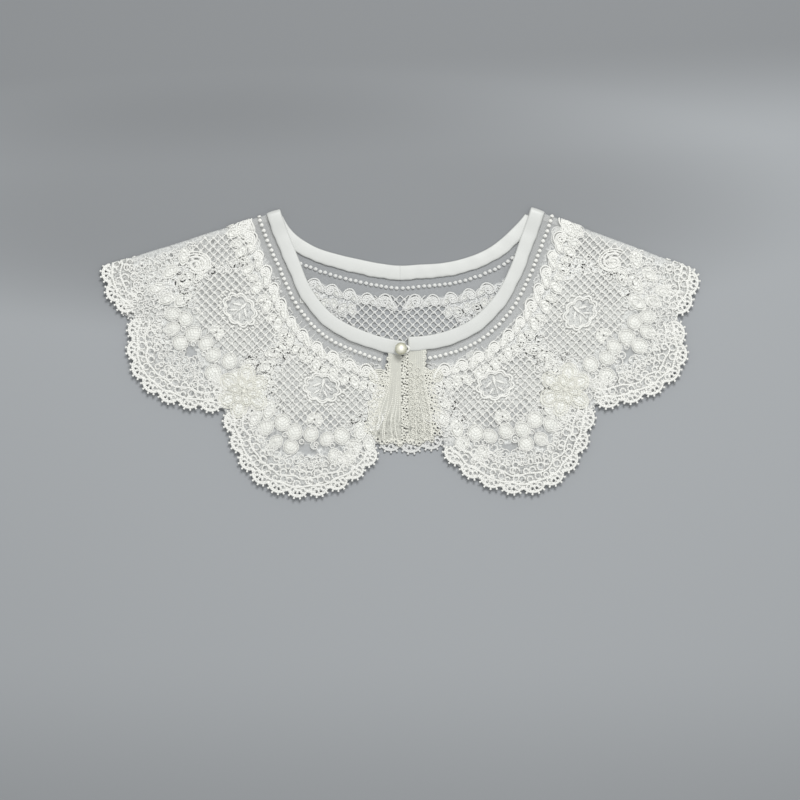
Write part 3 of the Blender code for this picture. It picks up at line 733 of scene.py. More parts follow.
        mesher.sweep(arch(0.86, turn), 0.85, 0.8, 0.8, sides=6)
        held = np.radians(np.array([-66.0, -24.0, 20.0, 64.0]))
        mesher.rings(arch(0.5, held).reshape(-1, 2), 1.6, 0.7, 0.8, sides=6)
        mesher.rings(origin + normal * 0.3, 1.6, 0.75, 0.85, sides=6)
        picot_width = np.array([[0.6, 0.62, 0.95, 0.6]])
        for angle in np.radians(np.array([[-74.0], [-45.0], [-16.0], [14.0], [43.0], [73.0]])):
            ends = np.stack([arch(s, angle)[:, 0] for s in (0.92, 1.03, 1.12, 1.18)], 1)
            mesher.sweep(ends, picot_width, 0.8, 0.9)

    def build_lattice(self, threads: Threads) -> None:
        """Diamond lattice round each medallion: threads with a knot at each crossing."""
        mesher = Mesher(self.cloth)
        for medallion, wide, tall, lower in self.lattice_ovals():
            self.lattice_patch(mesher, medallion, wide, tall, lower)
        self.pieces.append(mesher.make(f"{self.name}_lattice", threads.cord, "lace"))

    def lattice_patch(
        self, mesher: Mesher, medallion: Medallion, wide: float, tall: float, lower: float
    ) -> None:
        """One oval of lattice in a medallion's own directions."""
        middle, across, out = frames(self.side, medallion)
        draw = np.random.default_rng(self.seed + 60)
        right, down = np.array([1.0, 0.0]), np.array([0.0, -1.0])
        count = int(2 * max(wide, tall) / self.cell)
        index = np.arange(-count, count + 1)
        diag = self.cell / math.sqrt(2)
        i, j = (g.ravel() for g in np.meshgrid(index, index))
        local = np.stack([(i + j) * diag, (i - j) * diag], -1)
        framed = self.layer is Layer.FRONT and medallion in self.side.medallions

        def inside(spot: np.ndarray) -> np.ndarray:
            """Which local points lie in the oval, outside the frame, on free cloth."""
            arm = spot[:, :1] * right + spot[:, 1:] * down
            a, o = arm @ across, arm @ out
            oval = (a / wide) ** 2 + ((o - lower) / tall) ** 2 < 1
            frame_wide, frame_tall = self.frame_room
            frame_oval = framed & ((a / frame_wide) ** 2 + (o / frame_tall) ** 2 < 1)
            return oval & ~frame_oval & self.open_ground(middle + arm)

        ok = inside(local)
        spots = middle + local[ok][:, :1] * right + local[ok][:, 1:] * down
        mesher.knots(spots, 1.22, 0.85, rows=4, sides=6)
        for step in ((diag, diag), (diag, -diag)):
            centre = local + np.array(step) / 2
            ok = inside(centre)
            run = np.array(step) / np.linalg.norm(step)
            side_step = np.array([-run[1], run[0]])
            t = np.linspace(-0.5, 0.5, 3) * self.cell
            bow = draw.normal(0.0, 0.22, (int(ok.sum()), 1)) * np.cos(t * np.pi / self.cell)
            line = t[None, :, None] * run + bow[..., None] * side_step
            path = centre[ok][:, None, :] + line
            plan = middle + path[..., :1] * right + path[..., 1:] * down
            mesher.sweep(plan, 0.5, 0.45, 0.8, sides=4)

    def bands(self, plan: np.ndarray) -> tuple[np.ndarray, np.ndarray, np.ndarray]:
        """Angle of plan points, and their distances from the neck edge and the hem."""
        angle = angle_of(self.side, plan)
        far = np.linalg.norm(plan - APEX, axis=-1)
        neck = neck_radius(self.side, self.layer, np.clip(angle, *NECK_REACH))
        hem = hem_radius(self.side, self.layer, np.clip(angle, *HEM_REACH))
        return angle, far - neck, hem - far

    def off_centre(self, plan: np.ndarray, clear: float, back_clear: float) -> np.ndarray:
        """Whether plan points lie clear of the centre front, or of the centre back."""
        sign, front = self.side.sign, self.layer is Layer.FRONT
        return sign * plan[..., 0] > (sign * self.side.centre_x + clear if front else back_clear)

    def open_ground(self, plan: np.ndarray) -> np.ndarray:
        """Whether plan points lie between the neck's scrolls and the border."""
        _, past_neck, past_hem = self.bands(plan)
        limit = -1.0 if self.layer is Layer.FRONT else -3.0
        return (
            (past_neck > BINDING_WIDTH + DOTTED_BAND)
            & (past_hem > self.border_width - 1.0)
            & (self.cloth.past_fold(plan) < limit)
            & self.off_centre(plan, 10.5, -0.01 * self.side.sign)
            & self.seen(plan)
        )

    def build_neck_work(self, threads: Threads) -> None:
        """The row of dots and the chain of scrolls beside the binding."""
        dots, mesher, pads = (Mesher(self.cloth) for _ in range(3))
        line = self.neck_line(BINDING_WIDTH + self.dot_depth)
        spots = resample(line, np.arange(2.0, length_of(line) - 1.0, self.dot_pitch))
        spots = spots + np.random.default_rng(self.seed + 5).normal(0.0, 0.13, spots.shape)
        dots.knots(spots[self.seen(spots)], 1.35, 0.8)
        self.pieces.append(dots.make(f"{self.name}_dots", threads.cord, "lace"))
        line = self.neck_line(BINDING_WIDTH + self.scroll_depth)
        total = length_of(line)
        steps = np.arange(self.scroll_pitch * 0.62, total - 4.0, self.scroll_pitch)
        middle = resample(line, steps)
        ahead = one_long(resample(line, steps + 0.5) - resample(line, steps - 0.5))
        out = one_long(middle - APEX)
        ok = self.seen(middle) & self.seen(middle + out * 6.0)
        self.scrolls(mesher, pads, middle[ok], ahead[ok], out[ok])
        self.pieces += [
            mesher.make(f"{self.name}_scrolls", threads.cord, "lace"),
            pads.make(f"{self.name}_scroll_pads", threads.satin, "lace"),
        ]

    def scrolls(
        self, cord: Mesher, pads: Mesher, middle: np.ndarray, ahead: np.ndarray, out: np.ndarray
    ) -> None:
        """A chain of scrolls: threads that sweep along the neck and curl in.

        A curl's radius falls evenly as it turns; its tail leaves it along the neck
        and bends down by the square of its run. Each further thread lies outside
        the first by its own offset and curls less. Size and lean vary at random.
        """
        draw = np.random.default_rng(self.seed + 90)
        grow = draw.uniform(0.84, 1.1, (len(middle), 1, 1))
        lean = draw.normal(0.0, 0.14, (len(middle), 1))
        ahead, out = ahead + out * lean, out - ahead * lean

        def lay(points: np.ndarray, thread: float) -> None:
            """Lay one thread of every scroll, from (along, out) points."""
            path = middle[:, None, :] + grow * (
                ahead[:, None, :] * points[None, :, :1] + out[:, None, :] * points[None, :, 1:]
            )
            cord.sweep(path, thread, thread, 0.95, sides=6)

        for offset, turns, thread in ((0.0, 1.5, 0.75), (1.7, 0.6, 0.6)):
            reach = 2.7 + offset
            back = np.linspace(1.0, 0.0, 9)
            tail = np.stack([-7.4 * back, -reach + (reach + 3.4 + 0.9 * offset) * back**2], -1)
            t = np.linspace(0.0, 1.0, 22)[1:]
            radius = reach * (1 - 0.66 * t * min(1.0, turns))
            turn = 2 * np.pi * turns * t
            curl = np.stack([radius * np.sin(turn), -radius * np.cos(turn)], -1)
            lay(np.concatenate([tail, curl]) + np.array([2.4, 0.0]), thread)
        cord.knots(middle + ahead * 2.4, 0.9, 0.85)
        wide = (self.layer is Layer.FRONT) | (np.abs(middle[:, 0]) > 24.0)
        for along, down, turn, length, width in (
            (-2.4, 1.2, -64.0, 9.4, 5.0),
            (-2.6, 9.0, -26.0, 9.4, 6.2),
            (3.8, 9.4, 24.0, 8.6, 5.6),
        ):
            way = math.radians(turn)
            ok = wide | (down < 5.0)
            direction = (out * math.cos(way) + ahead * math.sin(way))[ok]
            number = np.ones(len(direction))
            pads.petals(
                (middle + ahead * along + out * down)[ok], direction, number * length,
                number * width, pointed=True, height=0.35, outline=0.45, nested=(1.0, 0.6),
                cord=cord,
            )

    def build_filling(self, threads: Threads) -> None:
        """Fine thread work between the motifs: small spirals and rings.

        They stand in rows that are shaken a little. A spiral's radius falls evenly
        by 0.7 of itself over its turns.
        """
        mesher = Mesher(self.cloth)
        draw = np.random.default_rng(self.seed + 20)
        step = 5.3
        x, y = np.meshgrid(np.arange(0.0, 215.0, step), np.arange(-130.0, 90.0, step * 0.87))
        x = x + (np.arange(x.shape[0])[:, None] % 2) * step / 2
        plan = np.stack([self.side.sign * x.ravel(), y.ravel()], -1)
        plan = plan + draw.normal(0.0, 0.45, plan.shape)
        first = draw.uniform(0.0, 2 * np.pi, len(plan))
        size = draw.uniform(0.85, 1.2, len(plan))
        ok = self.open_ground(plan) & ~self.in_lattice(plan) & ~self.in_crescent(plan)
        ok &= ~self.near_flower(plan) & (self.bands(plan)[1] > BINDING_WIDTH + FILLING_FROM)
        ok = (ok | self.in_notch(plan)) & (self.cloth.past_fold(plan) < -3.5)
        plan, first, size = plan[ok], first[ok], size[ok]
        t, turns = np.linspace(0.0, 1.0, 12), 1.15
        turn = first[:, None] + 2 * np.pi * turns * t[None, :]
        radius = size[:, None] * 3.3 * (1 - 0.7 * t[None, :])
        path = plan[:, None, :] + radius[..., None] * np.stack([np.cos(turn), np.sin(turn)], -1)
        mesher.sweep(path, 0.58, 0.55, 0.75, sides=4)
        mesher.rings(plan[::2] + 2.4, 1.3, 0.55, 0.75, count=7, sides=4)
        self.pieces.append(mesher.make(f"{self.name}_filling", threads.cord, "lace"))

    def stitched(self, plan: np.ndarray) -> np.ndarray:
        """Share of the ground that fine stitches cover: 1 among the motifs, 0 where sheer."""
        _, past, hem = self.bands(plan)
        plain = (past < BINDING_WIDTH + NET_FROM) | self.in_crescent(plan)
        plain |= ~self.seen(plan)
        share = np.where(hem < self.border_width + 1.0, 0.5, 1.0)
        share = np.where(hem < 7.0, 0.6, share)
        share = np.where(self.near_flower(plan), 0.4, share)
        share = np.where(self.cloth.past_fold(plan) > -3.0, 0.4, share)
        netted = 0.3 if self.layer is Layer.FRONT else 0.0
        share = np.where(self.in_lattice(plan), netted, share)
        return np.where(plain, 0.0, share)

    def in_notch(self, plan: np.ndarray) -> np.ndarray:
        """Whether plan points lie in the wedge inside a notch between two lobes."""
        angle, _, hem = self.bands(plan)
        found = np.zeros(plan.shape[:-1], bool)
        for lobe in self.lobes[1:]:
            found |= (np.abs(angle - lobe[0]) < 4.5) & (hem > 6.5) & (hem < 27.0)
        return found & self.seen(plan)

    def near_flower(self, plan: np.ndarray) -> np.ndarray:
        """Whether plan points lie within a flower's reach, where the cloth stays sheer."""
        found = np.zeros(plan.shape[:-1], bool)
        for medallion in self.medallions:
            middle, across, out = frames(self.side, medallion)
            for row in PETALS:
                heart = middle + row[0] * across + row[1] * out
                found |= np.linalg.norm(plan - heart, axis=-1) < 6.6
        return found

    def lattice_ovals(self) -> list[tuple[Medallion, float, float, float]]:
        """Each lattice oval: its frame, half width, half height and shift outwards."""
        ovals = [(m, 31.0, 25.0, 2.0) for m in self.medallions]
        if self.layer is Layer.FRONT:
            outer = self.medallions[0]
            patch = Medallion(outer.angle + 17.0, outer.radius - 9.0, 70.0)
            ovals.append((patch, 11.0, 24.0, 0.0))
        else:
            # Three diamonds from the centre back, so that both sides' lattices meet.
            turn = math.degrees(math.asin(3 * self.cell / math.sqrt(2) / 108.0))
            ovals.append((Medallion(turn, 108.0, 0.0), 34.0, 24.0, 0.0))
        return ovals

    def in_lattice(self, plan: np.ndarray) -> np.ndarray:
        """Whether plan points lie in one of the lattice's ovals."""
        found = np.zeros(plan.shape[:-1], bool)
        for medallion, wide, tall, lower in self.lattice_ovals():
            middle, across, out = frames(self.side, medallion)
            arm = plan - middle
            found |= ((arm @ across) / wide) ** 2 + ((arm @ out - lower) / tall) ** 2 < 0.92
        return found

    def in_crescent(self, plan: np.ndarray) -> np.ndarray:
        """Whether plan points lie in the sheer crescents between flowers and border."""
        found = np.zeros(plan.shape[:-1], bool)
        if self.layer is Layer.BACK:
            return found
        for medallion in self.side.medallions:
            middle, across, out = frames(self.side, medallion)
            arm = plan - middle
            a, o = arm @ across, arm @ out
            found |= ((a - 3.0) / 10.0) ** 2 + ((o - 41.5) / 3.4) ** 2 < 1
        return found


# Each row: across, out, turn, length, width, in a medallion's own directions.
# Every leaf also has its mirror.
LEAVES = np.array([
    (30.5, 22.0, 5.0, 14.0, 8.5), (38.5, 13.0, -12.0, 14.0, 8.5), (35.5, 3.5, -30.0, 12.0, 7.5),
    (37.5, -5.0, -50.0, 12.0, 7.5), (38.0, 29.0, 20.0, 12.0, 7.5), (2.4, 20.5, 25.0, 9.0, 5.0),
    (22.0, 42.5, 55.0, 8.5, 4.5),
])
# Rounded petals that overlap in two rows, in the same directions.
PETALS = np.array([
    (-29.5, 31.0, -40.0, 10.5, 9.5), (-19.5, 27.5, -10.0, 11.5, 10.5),
    (-9.5, 32.5, 15.0, 10.5, 9.5), (0.5, 30.5, -8.0, 10.5, 9.5), (10.5, 31.5, 12.0, 11.5, 10.5),
    (20.5, 28.5, -25.0, 11.0, 10.0), (29.0, 33.0, 35.0, 10.5, 9.5),
    (-26.0, 40.5, 20.0, 11.0, 9.5), (-16.5, 41.0, -6.0, 11.5, 10.5),
    (11.5, 41.5, 8.0, 11.0, 10.0), (21.5, 40.0, 30.0, 10.5, 9.5),
])
# Round knots among them: across, out.
PETAL_KNOTS = np.array([(-15.0, 35.0), (5.0, 37.0), (16.5, 35.0), (-4.5, 36.5)])
SHOULDER_LEAVES = np.array(
    [(50.0, 2.0, -35.0, 12.0, 7.5), (49.0, 15.0, 0.0, 12.0, 7.5), (47.5, 29.0, 20.0, 11.0, 7.0)]
)
SPRIG = np.array(
    [(0.0, -3.4, 0.0, 6.4, 2.7), (3.9, -1.2, 58.0, 6.6, 2.3), (3.0, 3.2, 42.0, 5.4, 2.0)]
)
# Large motifs, in plan: a curl, an oval coil and a full flower between the lobes.
LARGE_MOTIFS = {
    -1: (np.array([-132.0, 57.2]), np.array([-100.5, 80.0]), np.array([-101.5, -25.0])),
    1: (np.array([137.8, 59.2]), np.array([110.5, 80.0]), np.array([107.0, -24.0])),
}
# Oval coils beside the centre front, in plan: middle, half width, half height.
CENTRE_COILS = {-1: (np.array([-13.5, -15.2]), 6.4, 4.3), 1: (np.array([23.6, -14.6]), 4.4, 4.0)}


@dataclass
class Embroidery:
    """The flowers, leaves and medallions of one half."""

    half: Half
    medallion_across: float = 12.5
    medallion_out: float = 9.5
    scallops: int = 9
    draw: np.random.Generator = field(default_factory=lambda: np.random.default_rng(71))

    def build(self, threads: Threads) -> None:
        """Sew every medallion's motifs and keep those that lie on the cloth."""
        satin, frame_cord, ivory = (Mesher(self.half.cloth) for _ in range(3))
        front = self.half.layer is Layer.FRONT
        for number, medallion in enumerate(self.half.medallions):
            if front:
                self.medallion(frame_cord, medallion)
            self.leaves(satin, frame_cord, medallion, LEAVES, mirrored=True)
            self.flowers(satin, frame_cord, medallion)
            if front and number == 0:
                self.leaves(satin, frame_cord, medallion, SHOULDER_LEAVES, mirrored=False)
                self.large_motifs(satin, frame_cord, ivory)
        self.half.pieces += [
            satin.make(f"{self.half.name}_satin_stitch", threads.satin, "lace"),
            frame_cord.make(f"{self.half.name}_medallions", threads.cord, "lace"),
        ]
        if front:
            piece = ivory.make(f"{self.half.name}_full_flower", threads.ivory, "lace")
            self.half.pieces.append(piece)

    def large_motifs(self, satin: Mesher, cord: Mesher, ivory: Mesher) -> None:
        """A curl and an oval coil near the fold, a full flower, and a centre-front coil.

        The curl's radius falls evenly over its turns; the coils are nested ovals.
        The flower has two rings of six petals, between the two lobes.
        """
        side = self.half.side
        curl, coil, heart = LARGE_MOTIFS[side.sign]
        beside, wide, tall = CENTRE_COILS[side.sign]

        def coiled(
            mesher: Mesher, middle: np.ndarray, half: tuple[float, float],
            shares: tuple[float, ...], count: int, thread: tuple[float, float, float],
            sides: int,
        ) -> None:
            """Nested ovals of thread: (half width, crest, level) is the thread's section."""
            turn = 2 * np.pi * np.arange(count) / count
            wide, tall = half
            for share in shares:
                oval = np.stack([wide * share * np.cos(turn), tall * share * np.sin(turn)], -1)
                mesher.sweep((middle + oval)[None], *thread, sides=sides, closed=True)

        coiled(ivory, beside, (wide, tall), (1.0, 0.72, 0.44, 0.16), 24, (0.5, 0.55, 1.1), 5)
        t = np.linspace(0.0, 1.0, 64)
        for offset, turns, thread in ((0.0, 1.4, 0.95), (1.8, 0.75, 0.6), (3.4, 0.6, 0.55)):
            radius = (5.4 + offset) * (1 - (0.72 if not offset else 0.3) * t)
            turn = 2 * np.pi * turns * t + 0.9
            path = np.stack([1.25 * side.sign * radius * np.cos(turn), radius * np.sin(turn)], -1)
            cord.sweep((curl + path)[None], thread, 0.8, 0.95, sides=6)
        cord.knots(curl[None], 1.3, 1.0)
        satin.knots(coil[None], 7.0, 0.5, height=0.07, rows=9, sides=8)
        coiled(cord, coil, (5.6, 7.6), (1.0, 0.74, 0.48, 0.2), 36, (0.55, 0.6, 0.95), 6)
        for reach, first, length, width in ((10.6, 8.0, 14.0, 11.5), (5.4, 44.0, 8.2, 7.0)):
            way = np.radians(first + 60.0 * np.arange(6) + 5.0 * self.draw.normal(0.0, 1.0, 6))
            turn = np.stack([np.sin(way), np.cos(way)], -1)
            satin.petals(
                heart + turn * reach, turn, length + self.draw.normal(0.0, 0.9, 6),
                width + self.draw.normal(0.0, 0.9, 6), pointed=False,
                base=0.8 if reach > 6 else 1.1, outline=0.5, nested=(1.0, 0.64), cord=ivory,
                ribs=3,
            )
        ivory.knots(heart[None], 1.5, 1.3)

    def on_cloth(self, plan: np.ndarray) -> np.ndarray:
        """Whether plan points lie on this half, clear of the scrolls and border."""
        half = self.half
        _, past_neck, past_hem = half.bands(plan)
        limit = 5.0 if half.layer is Layer.FRONT else -6.0
        free = (past_neck > BINDING_WIDTH + MOTIFS_FROM) & (past_hem > 18.0)
        free &= (half.cloth.past_fold(plan) < limit) & half.off_centre(plan, 13.0, 2.0)
        return free & half.seen(plan)

    def leaves(
        self, mesher: Mesher, cord: Mesher, medallion: Medallion, rows: np.ndarray, mirrored: bool
    ) -> None:
        """Satin leaves from a table, and their mirrors across the medallion's axis."""
        if mirrored:
            rows = np.concatenate([rows, rows * np.array([-1, 1, -1, 1, 1])])
        middle, across, out = frames(self.half.side, medallion)
        spots = middle + rows[:, :1] * across + rows[:, 1:2] * out
        ok = self.on_cloth(spots)
        turn = unit(rows[:, 2], across, out)
        mesher.petals(
            spots[ok], turn[ok], rows[ok, 3], rows[ok, 4], pointed=True, outline=0.45,
            nested=(1.0, 0.62), cord=cord,
        )

    def flowers(self, satin: Mesher, cord: Mesher, medallion: Medallion) -> None:
        """Rounded petals in two rows, shaken a little, with knots among them."""
        middle, across, out = frames(self.half.side, medallion)
        rows = PETALS + self.draw.normal(0.0, 1.0, PETALS.shape) * (0.8, 0.8, 16.0, 0.7, 0.7)
        spots = middle + rows[:, :1] * across + rows[:, 1:2] * out
        ok = self.on_cloth(spots)
        turn = unit(rows[:, 2], across, out)
        satin.petals(
            spots[ok], turn[ok], rows[ok, 3], rows[ok, 4], pointed=False, height=0.22,
            outline=0.4, nested=(1.0, 0.79), cord=cord, ribs=4,
        )
        spots = middle + PETAL_KNOTS[:, :1] * across + PETAL_KNOTS[:, 1:] * out
        spots = spots[self.on_cloth(spots)]
        if len(spots):
            cord.rings(spots, 1.5, 0.55, 1.1, count=8)

    def medallion(self, cord: Mesher, medallion: Medallion) -> None:
        """A scalloped corded frame, doubled, with a small sprig of leaves inside.

        The frame is an oval whose two half axes swell and shrink as
        1 less 0.17 times (1 less the sine's size) nine times round.
        """
        middle, across, out = frames(self.half.side, medallion)
        t = 2 * np.pi * np.arange(108) / 108
        for scale, thick in ((1.0, 0.8), (0.86, 0.55)):
            wave = 1 - 0.17 * (1 - np.abs(np.sin(t * self.scallops / 2)))
            plan = (
                middle
                + (self.medallion_across * scale * wave * np.cos(t))[:, None] * across
                + (self.medallion_out * scale * wave * np.sin(t))[:, None] * out
            )
            cord.sweep(plan[None], thick, thick, 0.85, sides=6, closed=True)
        turn = 2 * np.pi * (np.arange(self.scallops * 2) + 0.5) / (self.scallops * 2)
        reach = 1.16 * np.array([self.medallion_across, self.medallion_out])
        picots = reach * np.stack([np.cos(turn), np.sin(turn)], -1) @ np.stack([across, out])
        cord.knots(middle + picots, 1.0, 0.85)
        rows = np.concatenate([SPRIG, SPRIG[1:] * np.array([-1, 1, -1, 1, 1])])
        spots = middle + rows[:, :1] * across + rows[:, 1:2] * out
        turn = unit(rows[:, 2], across, out)
        cord.petals(spots, turn, rows[:, 3], rows[:, 4] * 0.8, pointed=True)
        stem = np.linspace(-6.0, 6.0, 12)
        path = middle + stem[:, None] * out + (0.5 * np.sin(stem / 2))[:, None] * across
        cord.sweep(path[None], 0.45, 0.5, 0.85, sides=5)


def thicken(piece: bpy.types.Object, thickness: float, offset: float = 0.0) -> None:
    """Give a sheet its thickness in millimetres."""
    solid = piece.modifiers.new("cloth", "SOLIDIFY")
    solid.thickness = thickness * MM
    solid.offset = offset


def mark_stitched(piece: bpy.types.Object, share: np.ndarray) -> None:
    """Keep the share of worked net at each point of a sheet."""
    kept = piece.data.attributes.new("stitched", "FLOAT", "POINT")
    kept.data.foreach_set("value", share.ravel().astype(np.float32))


@dataclass
class Ground:
    """The sheer organza that the embroidery is sewn on."""

    name: str
    columns: int = 120
    rows: int = 52
    hem_inset: float = 3.4
    thickness: float = 0.22

    def grid(self, half: Half) -> tuple[np.ndarray, np.ndarray]:
        """Plan points ruled from the neck edge to a line inside the lace border."""
        side, cloth = half.side, half.cloth

        def neck_at(angle: np.ndarray) -> np.ndarray:
            """Radius of the sheet's inner edge, just under the binding."""
            return neck_radius(side, half.layer, angle) + BINDING_WIDTH - 0.5

        def hem_at(angle: np.ndarray) -> np.ndarray:
            """Radius of the sheet's outer edge, inside the lace border."""
            return hem_radius(side, half.layer, angle) - self.hem_inset

        def edge(first: float, radius_at: Callable[[np.ndarray], np.ndarray]) -> np.ndarray:
            """Plan points along a curve, from an angle to the fold."""
            angle = first + (cloth.fold_angle_of(radius_at) - first) * t
            return polar(side, angle, radius_at(angle))

        t = np.linspace(0.0, 1.0, self.columns)
        inner = edge(half.first_angle, neck_at)
        back = half.layer is Layer.BACK
        outer = edge(half.first_angle if back else side.lobes[-1][4] + 1.0, hem_at)
        way = np.linspace(0.0, 1.0, self.rows)[None, :, None]
        plan = inner[:, None, :] * (1 - way) + outer[:, None, :] * way
        if back:
            beyond = np.maximum(cloth.past_fold(plan) + FOLD_FLAP + SEAM_GAP, 0.0)
            plan = plan - beyond[..., None] * cloth.fold_normal
        else:
            plan = np.concatenate([plan, plan[-1:] + cloth.roll_steps()])
        return plan, self.sag(plan)

    def sag(self, plan: np.ndarray) -> np.ndarray:
        """Height in the wall: crossed sine waves, a few tenths of a millimetre."""
        x, y = plan[..., 0], plan[..., 1]
        return CLOTH_MIDDLE + 0.12 * np.sin(x / 7.0 + y / 11.0) + 0.08 * np.sin(y / 5.0 - x / 13.0)

    def build(self, halves: list[Half], material: bpy.types.Material) -> bpy.types.Object:
        """Make one sheet from the grids of one or two sides."""
        mesher = Mesher()
        stitched = []
        for half in halves:
            plan, height = self.grid(half)
            stitched.append(half.stitched(plan).ravel())
            quads = grid_faces(*height.shape)
            quads = quads if half.side.sign > 0 else quads[:, ::-1]
            mesher.add(half.cloth.place(plan, height), plan, [quads])
        piece = mesher.make(self.name, material, "lace")
        mark_stitched(piece, np.concatenate(stitched))
        thicken(piece, self.thickness)
        return piece


@dataclass
class Binding:
    """Satin strip folded over a stretch of the neck edge."""

    name: str
    thickness: float = 0.28
    height: float = 1.2

    def build(
        self, halves: list[tuple[Half, float, float]], material: bpy.types.Material
    ) -> bpy.types.Object:
        """Sweep the folded strip's profile along the neck.

        The profile runs from the outer edge under the cloth, round a half circle
        at the neck edge, and back over the cloth, where it swells a little.
        """
        mesher = Mesher()
        roll = 0.5 * self.height
        bend = np.linspace(-np.pi / 2, np.pi / 2, 9)
        across = np.concatenate(
            [np.linspace(BINDING_WIDTH, roll, 10)[:-1], roll - roll * np.cos(bend),
             np.linspace(roll, BINDING_WIDTH, 14)[1:]]
        )
        level = np.concatenate(
            [np.full(9, 0.0), roll + roll * np.sin(bend), np.full(13, self.height)]
        )
        level[-13:] += 0.16 * np.sin(np.linspace(0, np.pi, 13)) ** 0.7
        level[-2:] -= np.array([0.12, 0.35])
        for half, start, stop in halves:
            angle = np.linspace(start, stop, 110)
            pull = 1 + 0.02 * np.sin(angle / 1.9) + 0.014 * np.sin(angle / 0.83 + 1)
            plan = polar(
                half.side, angle[:, None] + 0 * across,
                neck_radius(half.side, half.layer, angle)[:, None] + across * pull[:, None],
            )
            if half.layer is Layer.FRONT:
                over = half.cloth.past_fold(plan[-1])[None, :, None] * half.cloth.fold_normal
                plan = np.concatenate([plan, plan[-1:] + half.cloth.roll_steps() - over])
            row = np.arange(len(plan))[:, None]
            crease = 0.1 * np.sin(row / 3.1) * np.sin(row / 7.7)
            height = level + crease * (level > 0.9) + 0.14
            along = run_of(plan[:, -1])[:, None]
            coords = np.stack(np.broadcast_arrays(along, across + 2 * (level > 0.5)), -1)
            quads = grid_faces(*height.shape)[:, [0, 3, 2, 1]]
            quads = quads[:, ::-1] if half.side.sign > 0 else quads
            mesher.add(half.cloth.place(plan, height), coords, [quads])
        piece = mesher.make(self.name, material, "satin")
        thicken(piece, self.thickness, -1.0)
        return piece


